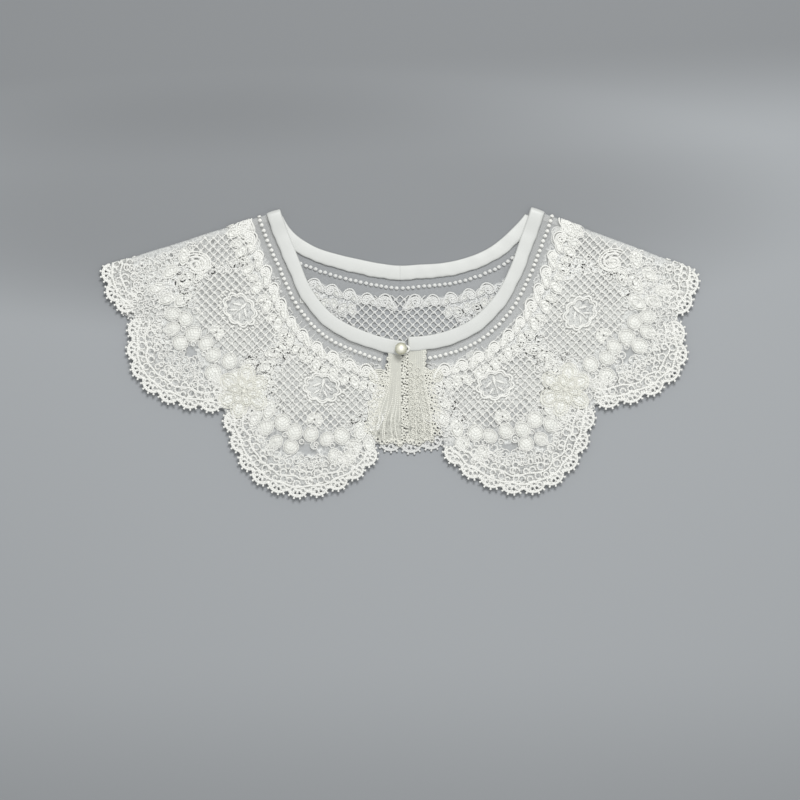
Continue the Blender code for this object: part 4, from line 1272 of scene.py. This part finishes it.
@dataclass
class Edging:
    """A gathered lace strip up one centre-front edge."""

    name: str
    half: Half
    top_width: float = 11.0
    foot_width: float = 16.0
    foot: float = -58.0
    ribs: int = 8
    plain: float = 0.5
    laced: bool = False

    def build(self, threads: Threads, material: bpy.types.Material) -> list[bpy.types.Object]:
        """The gathered ground, the cords on its gathers, and rings and knots round it."""
        side = self.half.side
        draw = np.random.default_rng(40 + side.sign)
        t = np.linspace(0.0, 1.0, 60)[:, None]
        s = np.linspace(0.0, 1.0, 65)[None, :]
        plan, height = self.surface(draw, t, s)
        quads = grid_faces(*height.shape)
        mesher = Mesher()
        mesher.add(np.concatenate([plan, height[..., None]], -1), plan,
                   [quads if side.sign > 0 else quads[:, ::-1]])
        strip = mesher.make(self.name, material, "lace")
        mark_stitched(strip, 1.0 - ease((t - self.plain) * 3) + 0 * s)
        thicken(strip, 0.25)
        lace = Mesher(Cloth(side, Layer.BACK))
        self.gathers(lace, draw, t[1:-1, 0], plan, height)
        self.fringe(lace, draw, plan)
        return [strip, lace.make(f"{self.name}_lace", threads.ivory, "lace")]

    def surface(
        self, draw: np.random.Generator, t: np.ndarray, s: np.ndarray
    ) -> tuple[np.ndarray, np.ndarray]:
        """Plan points and heights of the ground, t down the strip and s across it.

        The height is a wave across the strip whose phase drifts along it, and which
        grows from 0.04 at the top to 0.2 at the foot.
        """
        side, sign = self.half.side, self.half.side.sign
        spread = self.top_width + (self.foot_width - self.top_width) * ease((t - 0.15) / 0.85)
        top = self.top_of(side.centre_x + sign * self.top_width * s)
        y = top + (self.foot - top) * t + (1.2 * np.sin(9 * s + sign) + 3.0 * s) * t**3
        sway = 0.7 * np.sin(2 * np.pi * (1.3 * t + 0.4 * s)) * np.sin(np.pi * t) * s
        x = side.centre_x + sign * (spread * s + sway)
        phase = draw.normal(0.0, 0.6, s.shape[1]).cumsum()[None, :] * 0.22
        drift = 1.4 * np.sin(2.6 * t + 2 * s) + 0.7 * np.sin(7.1 * t + 5 * s)
        wave = np.sin(2 * np.pi * s * self.ribs + phase + drift)
        return np.stack([x, y], -1), FRONT_FLOOR + 0.8 + 0.5 * s + (0.04 + 0.16 * t) * wave

    def gathers(
        self, lace: Mesher, draw: np.random.Generator, along: np.ndarray,
        plan: np.ndarray, height: np.ndarray,
    ) -> None:
        """Cords down the gathers: each wanders across by two sine waves."""
        for rib in range(self.ribs):
            first, second = draw.uniform(0.0, 6.28, 2)
            share = (rib + 0.5) / self.ribs + 0.05 * np.sin(5.0 * along + first)
            share = np.clip(share + 0.03 * np.sin(13.0 * along + second), 0.02, 0.98)
            column = share * (height.shape[1] - 1)
            low = column.astype(int)
            part = (column - low)[:, None]
            row = np.arange(1, len(along) + 1)
            path = plan[row, low] * (1 - part) + plan[row, low + 1] * part
            crest = height[row, low] + 0.05
            last = int(len(row) * (1.0 if rib % 3 else 0.8))
            start = int(len(row) * draw.uniform(0.0, 0.45))
            kept = slice(start, last)
            thick = 0.12 + 0.34 * ease((along[kept] - along[start]) * 2)
            lace.sweep(path[None, kept], thick[None], 0.3, crest[None, kept], sides=6)

    def fringe(self, lace: Mesher, draw: np.random.Generator, plan: np.ndarray) -> None:
        """Rings and knots down the strip, along both its edges and round its foot."""
        sign = self.half.side.sign

        def shaken(
            edge: np.ndarray, first: float, pitch: float, stop: float, by: float
        ) -> np.ndarray:
            """Spots along an edge, from first to stop before its end, shaken a little."""
            spots = resample(edge, np.arange(first, length_of(edge) - stop, pitch))
            return spots + draw.normal(0.0, by, spots.shape)

        for share in (0.2, 0.5, 0.8) if self.laced else ():
            line = plan[:, int(share * (plan.shape[1] - 1))]
            spots = shaken(line, 6.0 + 14 * share, 3.6, 1.0, 0.5)
            lace.rings(spots, 1.35, 0.42, FRONT_FLOOR + 1.2 + 0.5 * share, count=8, sides=5)
        # Each row: edge, shift out from it, first spot, pitch, ring radius.
        for column, shift, first, pitch, radius in (
            (0, -1.9, 2.5, 3.6, 1.05),
            (-1, -0.2, 5.0 if sign < 0 else 2.0, 2.5, 1.0),
            (-1, 1.8, 13.0, 3.0, 1.25),
            (-1, 4.2, 15.0, 3.3, 1.4),
        ):
            edge = plan[:, column] + np.array([sign * shift, 0.0])
            spots = shaken(edge, first, pitch, 1.0, 0.5)
            lace.rings(spots, radius, 0.6, FRONT_FLOOR + 1.0, count=8, sides=5)
        for edge, first, pitch, by in (
            (plan[:, 0] - np.array([sign * 0.5, 0.0]), 1.5, 2.2, 0.3),
            (plan[:, -1] - np.array([sign * 0.6, 0.0]), 1.5, 2.1, 0.6),
            (plan[-1], 0.5, 2.2, 0.6),
            (plan[-3] - np.array([0.0, 1.6]), 1.5, 2.6, 0.6),
        ):
            spots = shaken(edge, first, pitch, 0.0, by)
            lace.knots(spots, 0.95, FRONT_FLOOR + 0.75, height=0.6)
        spots = resample(plan[-1] - np.array([0.0, 0.8]), np.arange(1.0, 18.0, 3.2))
        lace.rings(spots, 1.3, 0.65, FRONT_FLOOR + 0.7, count=8, sides=5)

    def top_of(self, x: np.ndarray) -> np.ndarray:
        """Where the strip meets the binding's lower edge, by a few repeats."""
        side = self.half.side
        angle = np.degrees(np.arctan2(side.sign * x, APEX[1]))
        for _ in range(8):
            reach = neck_radius(side, Layer.FRONT, angle) + BINDING_WIDTH - 0.3
            y = APEX[1] - reach * np.cos(np.radians(angle))
            angle = np.degrees(np.arctan2(side.sign * x, APEX[1] - y))
        return y


@dataclass
class Pearl:
    """The pearl button on its shank, and the thread loop that holds it."""

    radius: float = 4.0
    shank_radius: float = 1.3
    shank_height: float = 2.4
    thread: float = 0.45
    loop_ends: tuple[float, float] = (-2.55, 6.2)

    @property
    def foot(self) -> float:
        """Height of the binding's top, plus the gap, on which both stand."""
        return FRONT_FLOOR + BINDING_THICK + SEAM_GAP

    def build(self, pearl: bpy.types.Material) -> bpy.types.Object:
        """Turn the profile: a cylinder's foot that runs into most of a circle."""
        foot = self.foot
        middle = foot + self.shank_height + self.radius * 0.9
        turn = np.linspace(math.acos((middle - foot - self.shank_height * 0.9) / self.radius),
                           math.pi, 40)
        radius = np.concatenate([[0.0, self.shank_radius], self.radius * np.sin(turn)])
        height = np.concatenate([[foot, foot], middle - self.radius * np.cos(turn)])
        radius[-1] = 0.0
        around = np.linspace(0, 2 * np.pi, 64, endpoint=False)
        ring = np.stack([np.cos(around), np.sin(around)], -1)
        plan = PEARL_AT + radius[1:-1, None, None] * ring[None]
        points = np.concatenate(
            [plan, np.broadcast_to(height[1:-1, None, None], plan.shape[:2] + (1,))], -1
        )
        rows, columns = points.shape[:2]
        index = np.arange(rows * columns).reshape(rows, columns)
        quads = np.stack(
            [index[:-1], np.roll(index[:-1], -1, 1), np.roll(index[1:], -1, 1), index[1:]], -1
        ).reshape(-1, 4)
        poles = np.array([[*PEARL_AT, height[0]], [*PEARL_AT, height[-1]]])
        flat = np.concatenate([points.reshape(-1, 3), poles])
        last = np.full(columns, rows * columns)
        low = np.stack([np.roll(index[0], -1), index[0], last], -1)
        high = np.stack([index[-1], np.roll(index[-1], -1), last + 1], -1)
        mesher = Mesher()
        mesher.add(flat, flat[:, :2], [quads, low, high])
        return mesher.make("pearl", pearl, "pearl")

    def build_loop(self, threads: Threads) -> bpy.types.Object:
        """Two thread turns side by side, in an oval round the shank."""
        mesher = Mesher(Cloth(RIGHT, Layer.BACK))
        left, right = self.loop_ends
        centre = np.array([(right + left) / 2, PEARL_AT[1]])
        half = np.array([(right - left) / 2, 2.6])
        turn = 2 * np.pi * np.arange(48) / 48
        for grow, high in ((0.0, 0.0), (-0.55, 0.25)):
            oval = (half + grow) * np.stack([np.cos(turn), np.sin(turn)], -1)
            base = self.foot + self.thread + high
            mesher.sweep((centre + oval)[None], self.thread, self.thread, base, sides=7,
                         closed=True, under=self.thread)
        return mesher.make("loop_thread", threads.cord, "lace")


Socket = bpy.types.NodeSocket
Colour = tuple[float, float, float]


class NodeTools:
    """Small helpers that add and join shader nodes of one tree."""

    def __init__(self, tree: bpy.types.NodeTree) -> None:
        """Keep the tree to work on."""
        self.tree = tree

    @classmethod
    def material(cls, name: str) -> tuple["NodeTools", bpy.types.Material, bpy.types.Node]:
        """A new material: its helpers, itself and its shader."""
        material = bpy.data.materials.new(name)
        material.use_nodes = True
        return cls(material.node_tree), material, material.node_tree.nodes["Principled BSDF"]

    @classmethod
    def group(
        cls, name: str, numbers: dict[str, float], results: tuple[str, ...]
    ) -> tuple["NodeTools", bpy.types.Node, bpy.types.Node]:
        """A new node group.

        Args:
            name: the group's name.
            numbers: its number inputs and their defaults, after a Vector input.
            results: its number outputs.

        Returns:
            Its helpers, its input node and its output node.
        """
        group = bpy.data.node_groups.new(name, "ShaderNodeTree")
        group.interface.new_socket("Vector", in_out="INPUT", socket_type="NodeSocketVector")
        for key, value in numbers.items():
            socket = group.interface.new_socket(key, in_out="INPUT", socket_type="NodeSocketFloat")
            socket.default_value = value
        for key in results:
            group.interface.new_socket(key, in_out="OUTPUT", socket_type="NodeSocketFloat")
        tools = cls(group)
        return tools, tools.add("NodeGroupInput"), tools.add("NodeGroupOutput")

    def add(self, kind: str, **settings) -> bpy.types.Node:
        """Add a node; a setting that is a number goes to the input of that name."""
        node = self.tree.nodes.new(kind)
        for key, value in settings.items():
            if hasattr(node, key):
                setattr(node, key, value)
            else:
                node.inputs[key.replace("_", " ")].default_value = value
        return node

    def use(
        self, group: bpy.types.NodeTree, vector: Socket, **numbers: float
    ) -> bpy.types.Node:
        """Add a shared group, fed with a vector and its own numbers."""
        node = self.add("ShaderNodeGroup")
        node.node_tree = group
        self.assign(node, **numbers)
        self.join(vector, node.inputs["Vector"])
        return node

    @staticmethod
    def assign(node: bpy.types.Node, **numbers: float) -> None:
        """Set inputs by name; an underscore stands for a space."""
        for key, value in numbers.items():
            node.inputs[key.replace("_", " ")].default_value = value

    def join(self, start: Socket, end: Socket) -> None:
        """Join one node's output to another's input."""
        self.tree.links.new(start, end)

    def noise(self, scale: float, detail: float, vector: Socket | None = None) -> Socket:
        """A noise node's value, on Object coordinates or on another vector."""
        node = self.add("ShaderNodeTexNoise", Scale=scale, Detail=detail)
        if vector is None:
            vector = self.add("ShaderNodeTexCoord").outputs["Object"]
        self.join(vector, node.inputs["Vector"])
        return node.outputs[0]

    def ramp(
        self, value: Socket, low: float, high: float, top: float = 1.0, kind: str = "LINEAR"
    ) -> Socket:
        """A value's place between low and high, as 0 to top."""
        node = self.add("ShaderNodeMapRange", interpolation_type=kind)
        self.assign(node, From_Min=low, From_Max=high, To_Max=top)
        self.join(value, node.inputs["Value"])
        return node.outputs[0]

    def math(
        self, operation: str, first: Socket | float, second: Socket | float = 0.0
    ) -> Socket:
        """A Math node's result, from sockets or numbers."""
        node = self.add("ShaderNodeMath", operation=operation)
        for socket, value in zip(node.inputs, (first, second)):
            if isinstance(value, bpy.types.NodeSocket):
                self.join(value, socket)
            else:
                socket.default_value = value
        return node.outputs[0]

    def times(self, first: Socket | float, second: Socket | float) -> Socket:
        """A product."""
        return self.math("MULTIPLY", first, second)

    def plus(self, first: Socket | float, second: Socket | float) -> Socket:
        """A sum."""
        return self.math("ADD", first, second)

    def blend(self, first: Socket, weight: float, second: Socket, rest: float) -> Socket:
        """The sum of two values, each times its weight."""
        return self.plus(self.times(first, weight), self.times(second, rest))

    def mix(self, share: Socket, first: Colour, second: Colour) -> Socket:
        """A colour between two, by a share from a socket."""
        node = self.add("ShaderNodeMix", data_type="RGBA")
        self.join(share, node.inputs["Factor"])
        for name, value in (("A", first), ("B", second)):
            socket = next(s for s in node.inputs if s.name == name and s.type == "RGBA")
            socket.default_value = (*value, 1.0)
        return next(s for s in node.outputs if s.type == "RGBA")

    def bump(
        self, height: Socket, strength: float, distance: float, shader: bpy.types.Node
    ) -> None:
        """Raise the shader's surface by a height."""
        node = self.add("ShaderNodeBump", Strength=strength, Distance=distance)
        self.join(height, node.inputs["Height"])
        self.join(node.outputs[0], shader.inputs["Normal"])


def stitch_group() -> bpy.types.NodeTree:
    """Node group: height of thread laid across a path, and the share that sets its painted shade in
    the hollows, from the run map.

    The height is half of 1 plus sin(Threads (along + Slant |across|) + Uneven noise).
    """
    tools, ins, outs = NodeTools.group(
        "laid_thread", {"Threads": 12.0, "Slant": 0.3, "Uneven": 1.0}, ("Height", "Shade"))
    run = ins.outputs["Vector"]
    split = tools.add("ShaderNodeSeparateXYZ")
    tools.join(run, split.inputs[0])
    noise = tools.noise(0.9, 2.0, run)
    lean = tools.times(tools.math("ABSOLUTE", split.outputs[1]), ins.outputs["Slant"])
    along = tools.times(tools.plus(split.outputs[0], lean), ins.outputs["Threads"])
    wave = tools.math("SINE", tools.plus(along, tools.times(noise, ins.outputs["Uneven"])))
    half = tools.times(tools.plus(wave, 1.0), 0.5)
    tools.join(half, outs.inputs["Height"])
    tools.join(tools.blend(half, 0.8, noise, 0.2), outs.inputs["Shade"])
    return tools.tree


def weave_group() -> bpy.types.NodeTree:
    """Node group: mask and height of crossed threads, from two crossed sine waves."""
    tools, ins, outs = NodeTools.group("plain_weave", {"Threads": 9.0}, ("Height", "Mask"))
    split = tools.add("ShaderNodeSeparateXYZ")
    tools.join(ins.outputs["Vector"], split.inputs[0])
    waves = [
        tools.math("ABSOLUTE", tools.math("SINE", tools.times(axis, ins.outputs["Threads"])))
        for axis in split.outputs[:2]
    ]
    top = tools.math("MAXIMUM", *waves)
    tools.join(top, outs.inputs["Height"])
    tools.join(tools.math("POWER", top, 3.0), outs.inputs["Mask"])
    return tools.tree


def net_group() -> bpy.types.NodeTree:
    """Node group: masks of worked net: its small holes and its raised threads."""
    tools, ins, outs = NodeTools.group("worked_net", {}, ("Solid", "Thread"))
    warp = tools.add("ShaderNodeTexNoise", Scale=0.22, Detail=2.0)
    tools.join(ins.outputs["Vector"], warp.inputs["Vector"])
    bend = tools.add("ShaderNodeVectorMath", operation="MULTIPLY_ADD")
    tools.join(warp.outputs["Color"], bend.inputs[0])
    bend.inputs[1].default_value = (5.0, 5.0, 0.0)
    tools.join(ins.outputs["Vector"], bend.inputs[2])
    for result, scale, uneven, feature, low, high in (
        ("Solid", 0.19, 0.85, "F1", 0.15, 0.25),
        ("Thread", 0.42, 0.9, "DISTANCE_TO_EDGE", 0.2, 0.08),
    ):
        cells = tools.add("ShaderNodeTexVoronoi", voronoi_dimensions="2D", feature=feature,
                          Scale=scale, Randomness=uneven)
        tools.join(bend.outputs[0], cells.inputs["Vector"])
        tools.join(tools.ramp(cells.outputs["Distance"], low, high), outs.inputs[result])
    return tools.tree


@dataclass(frozen=True)
class ThreadFinish:
    """Finish of sewn thread: a darker colour in its hollows, which is painted shade, and a lighter
    one on its crests.
    """

    name: str
    # Colour in the stitches' hollows: painted shade.
    hollow_painted_shade: Colour
    crest: Colour
    roughness: float
    threads: float
    slant: float
    depth: float
    sheen: float

    def make(self, group: bpy.types.NodeTree) -> bpy.types.Material:
        """The material: stitches follow the piece's run map."""
        tools, material, shader = NodeTools.material(self.name)
        run = tools.add("ShaderNodeUVMap", uv_map="run").outputs[0]
        laid = tools.use(group, run, Threads=self.threads, Slant=self.slant).outputs
        # Painted shade: the colour goes towards the hollow colour where the laid thread runs low,
        # with a little random tone.
        share = tools.blend(laid["Shade"], 0.8, tools.noise(55.0, 3.0), 0.2)
        tools.join(tools.mix(share, self.hollow_painted_shade, self.crest), shader.inputs["Base Color"])
        rough = tools.plus(tools.times(laid["Height"], -0.12), self.roughness + 0.06)
        tools.join(rough, shader.inputs["Roughness"])
        tools.bump(laid["Height"], self.depth, 0.0003, shader)
        tools.assign(shader, Sheen_Weight=self.sheen, Sheen_Roughness=0.4)
        return material


@dataclass(frozen=True)
class ClothFinish:
    """Finish of woven cloth: solid where cover is 1, and sheer below that.

    Cover and gap cover are the opacity over threads and between them. Where the
    piece's attribute "stitched" is above 0, the worked net adds stitched_cover,
    and thread_cover along its threads; closed fills its holes.
    """

    name: str
    # Colour in the weave's hollows: painted shade.
    hollow_painted_shade: Colour
    crest: Colour
    roughness: float
    threads: float
    depth: float
    sheen: float
    cover: float = 1.0
    gap_cover: float = 1.0
    stitched_cover: float = 0.0
    thread_cover: float = 0.0
    closed: float = 0.0

    def make(
        self, group: bpy.types.NodeTree, net: bpy.types.NodeTree | None = None
    ) -> bpy.types.Material:
        """The material: a weave on the run map, open between threads if it is sheer."""
        tools, material, shader = NodeTools.material(self.name)
        run = tools.add("ShaderNodeUVMap", uv_map="run").outputs[0]
        weave = tools.use(group, run, Threads=self.threads).outputs
        patches = tools.noise(38.0, 2.0)
        # Painted shade in the weave's low places, mixed with patches of random tone.
        share = tools.blend(weave["Height"], 0.6, patches, 0.4)
        tools.join(tools.mix(share, self.hollow_painted_shade, self.crest), shader.inputs["Base Color"])
        rough = tools.plus(tools.times(patches, 0.16), self.roughness - 0.08)
        tools.join(rough, shader.inputs["Roughness"])
        tools.bump(weave["Height"], self.depth, 0.00012, shader)
        tools.assign(shader, Sheen_Weight=self.sheen)
        if net:
            spread = tools.times(weave["Mask"], self.cover - self.gap_cover)
            uneven = tools.plus(tools.times(patches, 0.5), 0.75)
            alpha = tools.times(tools.plus(spread, self.gap_cover), uneven)
            more = self.worked(tools, tools.use(net, run).outputs)
            tools.join(tools.plus(alpha, more), shader.inputs["Alpha"])
        return material

    def worked(self, tools: NodeTools, net: bpy.types.bpy_prop_collection) -> Socket:
        """Opacity that the worked net adds."""
        dense = tools.add("ShaderNodeAttribute", attribute_name="stitched").outputs["Fac"]
        more = tools.plus(tools.times(net["Thread"], self.thread_cover), self.stitched_cover)
        more = tools.times(more, net["Solid"])
        if self.closed:
            return tools.math("MAXIMUM", more, tools.times(dense, self.closed))
        return tools.times(more, dense)


@dataclass(frozen=True)
class PearlFinish:
    """Pearl: cream under a clear coat; its base colour goes darker and greener towards the rim as
    painted shade and painted dark reflection.
    """

    body: Colour = (0.98, 0.96, 0.84)
    rim: Colour = (0.38, 0.375, 0.225)
    roughness: float = 0.46

    def make(self) -> bpy.types.Material:
        """The material."""
        tools, material, shader = NodeTools.material("pearl_lustre_and_painted_rim_shade")
        clouds = tools.noise(420.0, 3.0)
        # Painted shade and painted dark reflection: the base colour goes from body to rim at
        # grazing angles.
        facing = tools.add("ShaderNodeLayerWeight", Blend=0.62).outputs["Facing"]
        share = tools.blend(facing, 1.25, clouds, 0.12)
        tools.join(tools.mix(share, self.body, self.rim), shader.inputs["Base Color"])
        rough = tools.plus(tools.times(clouds, 0.08), self.roughness)
        tools.join(rough, shader.inputs["Roughness"])
        tools.assign(shader, Metallic=0.35, Coat_Weight=1.0, Coat_Roughness=0.22, Sheen_Weight=0.3)
        return material


@dataclass
class Studio:
    """The plain table, the soft lights and the camera above."""

    view_mm: float = 520.0
    view_middle: tuple[float, float] = (0.0, -30.55)
    camera_height: float = 1.2
    grey: tuple[float, float, float] = (0.326, 0.341, 0.353)
    far_shade: float = 0.57
    # Middle and size, in metres, of an oval patch of painted shade on the table.
    painted_shade_middle: tuple[float, float] = (-0.07, 0.095)
    painted_shade_size: tuple[float, float] = (0.37, 0.09)
    # Up the table, in metres: where the far shade and the near shade start and end.
    far_band: tuple[float, float] = (0.195, 0.125)
    near_band: tuple[float, float] = (-0.19, -0.31)
    table_half: float = 2.0
    table_drop: float = 0.0002

    def build(self) -> None:
        """Make the table, lights, world and camera."""
        self.table()
        self.lights()
        self.camera()

    def table(self) -> None:
        """A wide plain table just under the collar, its grey darkened by painted shade towards the
        far and near edges and in an oval patch.
        """
        mesh = bpy.data.meshes.new("table")
        corners = [
            (x * self.table_half, y * self.table_half, -self.table_drop)
            for x, y in ((-1, -1), (1, -1), (1, 1), (-1, 1))
        ]
        mesh.from_pydata(corners, [], [(0, 1, 2, 3)])
        tools, material, shader = NodeTools.material("table_grey_painted_shade")
        split = tools.add("ShaderNodeSeparateXYZ")
        tools.join(tools.add("ShaderNodeTexCoord").outputs["Object"], split.inputs[0])
        x, y = split.outputs[:2]
        smooth = "SMOOTHSTEP"
        # Painted shade: the grey darkens towards the far edge, towards the near edge and inside the
        # oval, with a little random tone.
        far = tools.ramp(tools.plus(y, tools.times(x, -0.05)), *self.far_band, kind=smooth)
        near = tools.ramp(y, *self.near_band, -0.4, smooth)
        oval = tools.plus(*(
            tools.math("POWER", tools.times(tools.plus(axis, -spot), 1 / size), 2.0)
            for axis, spot, size in zip((x, y), self.painted_shade_middle, self.painted_shade_size)
        ))
        dim = tools.ramp(oval, 1.0, 0.1, -0.66, smooth)
        share = tools.plus(tools.plus(tools.blend(far, 0.8, tools.noise(1.4, 1.0), 0.2), near), dim)
        painted_shade_grey = tuple(self.far_shade * c for c in self.grey)
        tools.join(tools.mix(share, painted_shade_grey, self.grey), shader.inputs["Base Color"])
        tools.assign(shader, Roughness=0.75)
        mesh.materials.append(material)
        table = bpy.data.objects.new("table", mesh)
        bpy.context.collection.objects.link(table)

    def lights(self) -> None:
        """A small window light behind, a wide weak one in front, and a pale sky."""
        for name, spot, size, power in (
            ("window", (0.16, 0.75, 1.4), 0.5, 19.0),
            ("ceiling", (0.4, -0.6, 2.0), 1.6, 8.0),
        ):
            lamp = bpy.data.lights.new(name, "AREA")
            lamp.shape = "SQUARE"
            lamp.size = size
            lamp.energy = power
            item = bpy.data.objects.new(name, lamp)
            item.location = spot
            item.rotation_euler = (-Vector(spot)).to_track_quat("-Z", "Y").to_euler()
            bpy.context.collection.objects.link(item)
        world = bpy.data.worlds.new("studio")
        world.use_nodes = True
        world.node_tree.nodes["Background"].inputs[0].default_value = (0.97, 0.985, 1.0, 1.0)
        world.node_tree.nodes["Background"].inputs[1].default_value = 0.44
        bpy.context.scene.world = world
        bpy.context.scene.view_settings.view_transform = "Standard"

    def camera(self) -> None:
        """A camera straight above that takes in view_mm of the table."""
        data = bpy.data.cameras.new("camera")
        data.sensor_width = 36.0
        data.lens = 36.0 * self.camera_height / (self.view_mm * MM)
        data.clip_start = 0.05
        camera = bpy.data.objects.new("camera", data)
        shift = shift_of_frame()
        camera.location = (
            (self.view_middle[0] + shift[0]) * MM,
            (self.view_middle[1] + shift[1]) * MM,
            self.camera_height,
        )
        bpy.context.collection.objects.link(camera)
        bpy.context.scene.camera = camera


@dataclass
class Collar:
    """The whole collar: its halves, bindings, edgings and button."""

    threads: Threads
    wrong_side: Threads
    organza: bpy.types.Material
    back_organza: bpy.types.Material
    net: bpy.types.Material
    satin: bpy.types.Material
    pearl: bpy.types.Material

    def sew(self, half: Half) -> None:
        """Put every kind of embroidery on one half: the back, which lies below wrong side up, takes
        darker thread colours as painted shade of the lower layer.
        """
        threads = self.threads if half.layer is Layer.FRONT else self.wrong_side
        half.build_border(threads)
        half.build_lattice(threads)
        half.build_neck_work(threads)
        half.build_filling(threads)
        Embroidery(half).build(threads)

    def front(self, name: str, side: Side) -> None:
        """One front half with its ground, binding and edging."""
        cloth = Cloth(side, Layer.FRONT)
        start = self.centre_angle(side, side.centre_x + side.sign * FRONT_START)
        half = Half(name, cloth, start)
        self.sew(half)
        ground = Ground(f"{name}_ground").build([half], self.organza)
        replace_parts(ground, name)
        word = name.split("_")[1]
        end_x = 3.7 if side.sign < 0 else 5.3
        band = Binding(f"binding_{word}_satin").build(
            [(half, self.centre_angle(side, end_x, BINDING_WIDTH / 2),
              cloth.fold_angle_of(lambda a: neck_radius(side, Layer.FRONT, a)))], self.satin)
        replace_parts(band, f"binding_{word}")
        top, foot, plain = (8.5, 18.5, 0.6) if side.sign < 0 else (11.0, 15.5, 0.55)
        edging = Edging(f"edging_{word}_strip", half, top_width=top, foot_width=foot, plain=plain,
                        laced=side.sign > 0)
        strip, lace = edging.build(self.threads, self.net)
        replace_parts(strip, f"edging_{word}")

    def back(self) -> None:
        """The back half, which lies below with its wrong side up."""
        halves = [
            Half("back_left", Cloth(LEFT, Layer.BACK), 0.0),
            Half("back_right", Cloth(RIGHT, Layer.BACK), 0.0),
        ]
        for half in halves:
            self.sew(half)
        ground = Ground("back_ground").build(halves, self.back_organza)
        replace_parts(ground, "back_panel")
        ends = []
        for half in halves:
            side = half.side
            stop = half.cloth.fold_angle_of(
                lambda a, side=side: neck_radius(side, Layer.BACK, a) + BINDING_WIDTH)
            ends.append((half, -0.3, stop - 2.0))
        band = Binding("binding_back_satin", height=0.95).build(ends, self.satin)
        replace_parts(band, "binding_back")

    @staticmethod
    def centre_angle(side: Side, x: float, inset: float = BINDING_WIDTH) -> float:
        """The angle at which the neck, inset, crosses a line up the centre front."""
        angle = np.linspace(-4.0, 30.0, 3000)
        reach = polar(side, angle, neck_radius(side, Layer.FRONT, angle) + inset)
        return float(angle[np.argmax(side.sign * reach[:, 0] >= side.sign * x)])


def main() -> None:
    """Dress the collar, piece by piece, and set up the studio."""
    logging.basicConfig(level=logging.INFO, format="%(name)s: %(message)s")
    laid, weave, net = stitch_group(), weave_group(), net_group()
    threads = Threads(
        satin=ThreadFinish("satin_stitch", (0.55, 0.555, 0.515), (0.87, 0.875, 0.83), 0.5, 2.8,
                           0.7, 0.45, 0.15).make(laid),
        cord=ThreadFinish("lace_cord", (0.74, 0.74, 0.695), (0.925, 0.925, 0.885), 0.65, 5.0,
                          0.8, 0.8, 0.15).make(laid),
        ivory=ThreadFinish("ivory_cord", (0.70, 0.695, 0.62), (0.865, 0.86, 0.785), 0.65, 5.0,
                           0.8, 0.8, 0.15).make(laid),
    )
    # The back half's threads are darker copies of the front's: painted shade of the layer that lies
    # below.
    wrong_side = Threads(
        satin=ThreadFinish("satin_stitch_back_painted_shade", (0.46, 0.465, 0.43), (0.73, 0.735, 0.70), 0.6,
                           2.8, 0.7, 0.45, 0.1).make(laid),
        cord=ThreadFinish("lace_cord_back_painted_shade", (0.62, 0.625, 0.60), (0.81, 0.815, 0.795), 0.7,
                          5.0, 0.8, 0.8, 0.1).make(laid),
        ivory=threads.ivory,
    )
    collar = Collar(
        threads=threads,
        wrong_side=wrong_side,
        organza=ClothFinish("organza", (0.84, 0.85, 0.82), (0.93, 0.94, 0.91), 0.5, 10.0,
                            0.3, 0.4, cover=0.17, gap_cover=0.07, stitched_cover=0.2,
                            thread_cover=0.35).make(weave, net),
        back_organza=ClothFinish("organza_wrong_side", (0.84, 0.85, 0.83), (0.93, 0.94, 0.92),
                                 0.5, 10.0, 0.3, 0.4, cover=0.075, gap_cover=0.03,
                                 stitched_cover=0.18, thread_cover=0.35).make(weave, net),
        net=ClothFinish("gathered_net", (0.505, 0.505, 0.452), (0.595, 0.595, 0.535), 0.7, 2.4,
                        0.3, 0.1, cover=0.34, gap_cover=0.28, stitched_cover=0.34,
                        thread_cover=0.3, closed=0.6).make(weave, net),
        satin=ClothFinish("ivory_satin", (0.52, 0.53, 0.508), (0.585, 0.595, 0.57), 0.42, 14.0,
                          0.12, 0.3).make(weave),
        pearl=PearlFinish().make(),
    )
    collar.back()
    collar.front("front_left", LEFT)
    collar.front("front_right", RIGHT)
    pearl = Pearl()
    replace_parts(pearl.build(collar.pearl), "pearl_button")
    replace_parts(pearl.build_loop(threads), "button_loop")
    Studio().build()


if __name__ == "__main__":
    main()
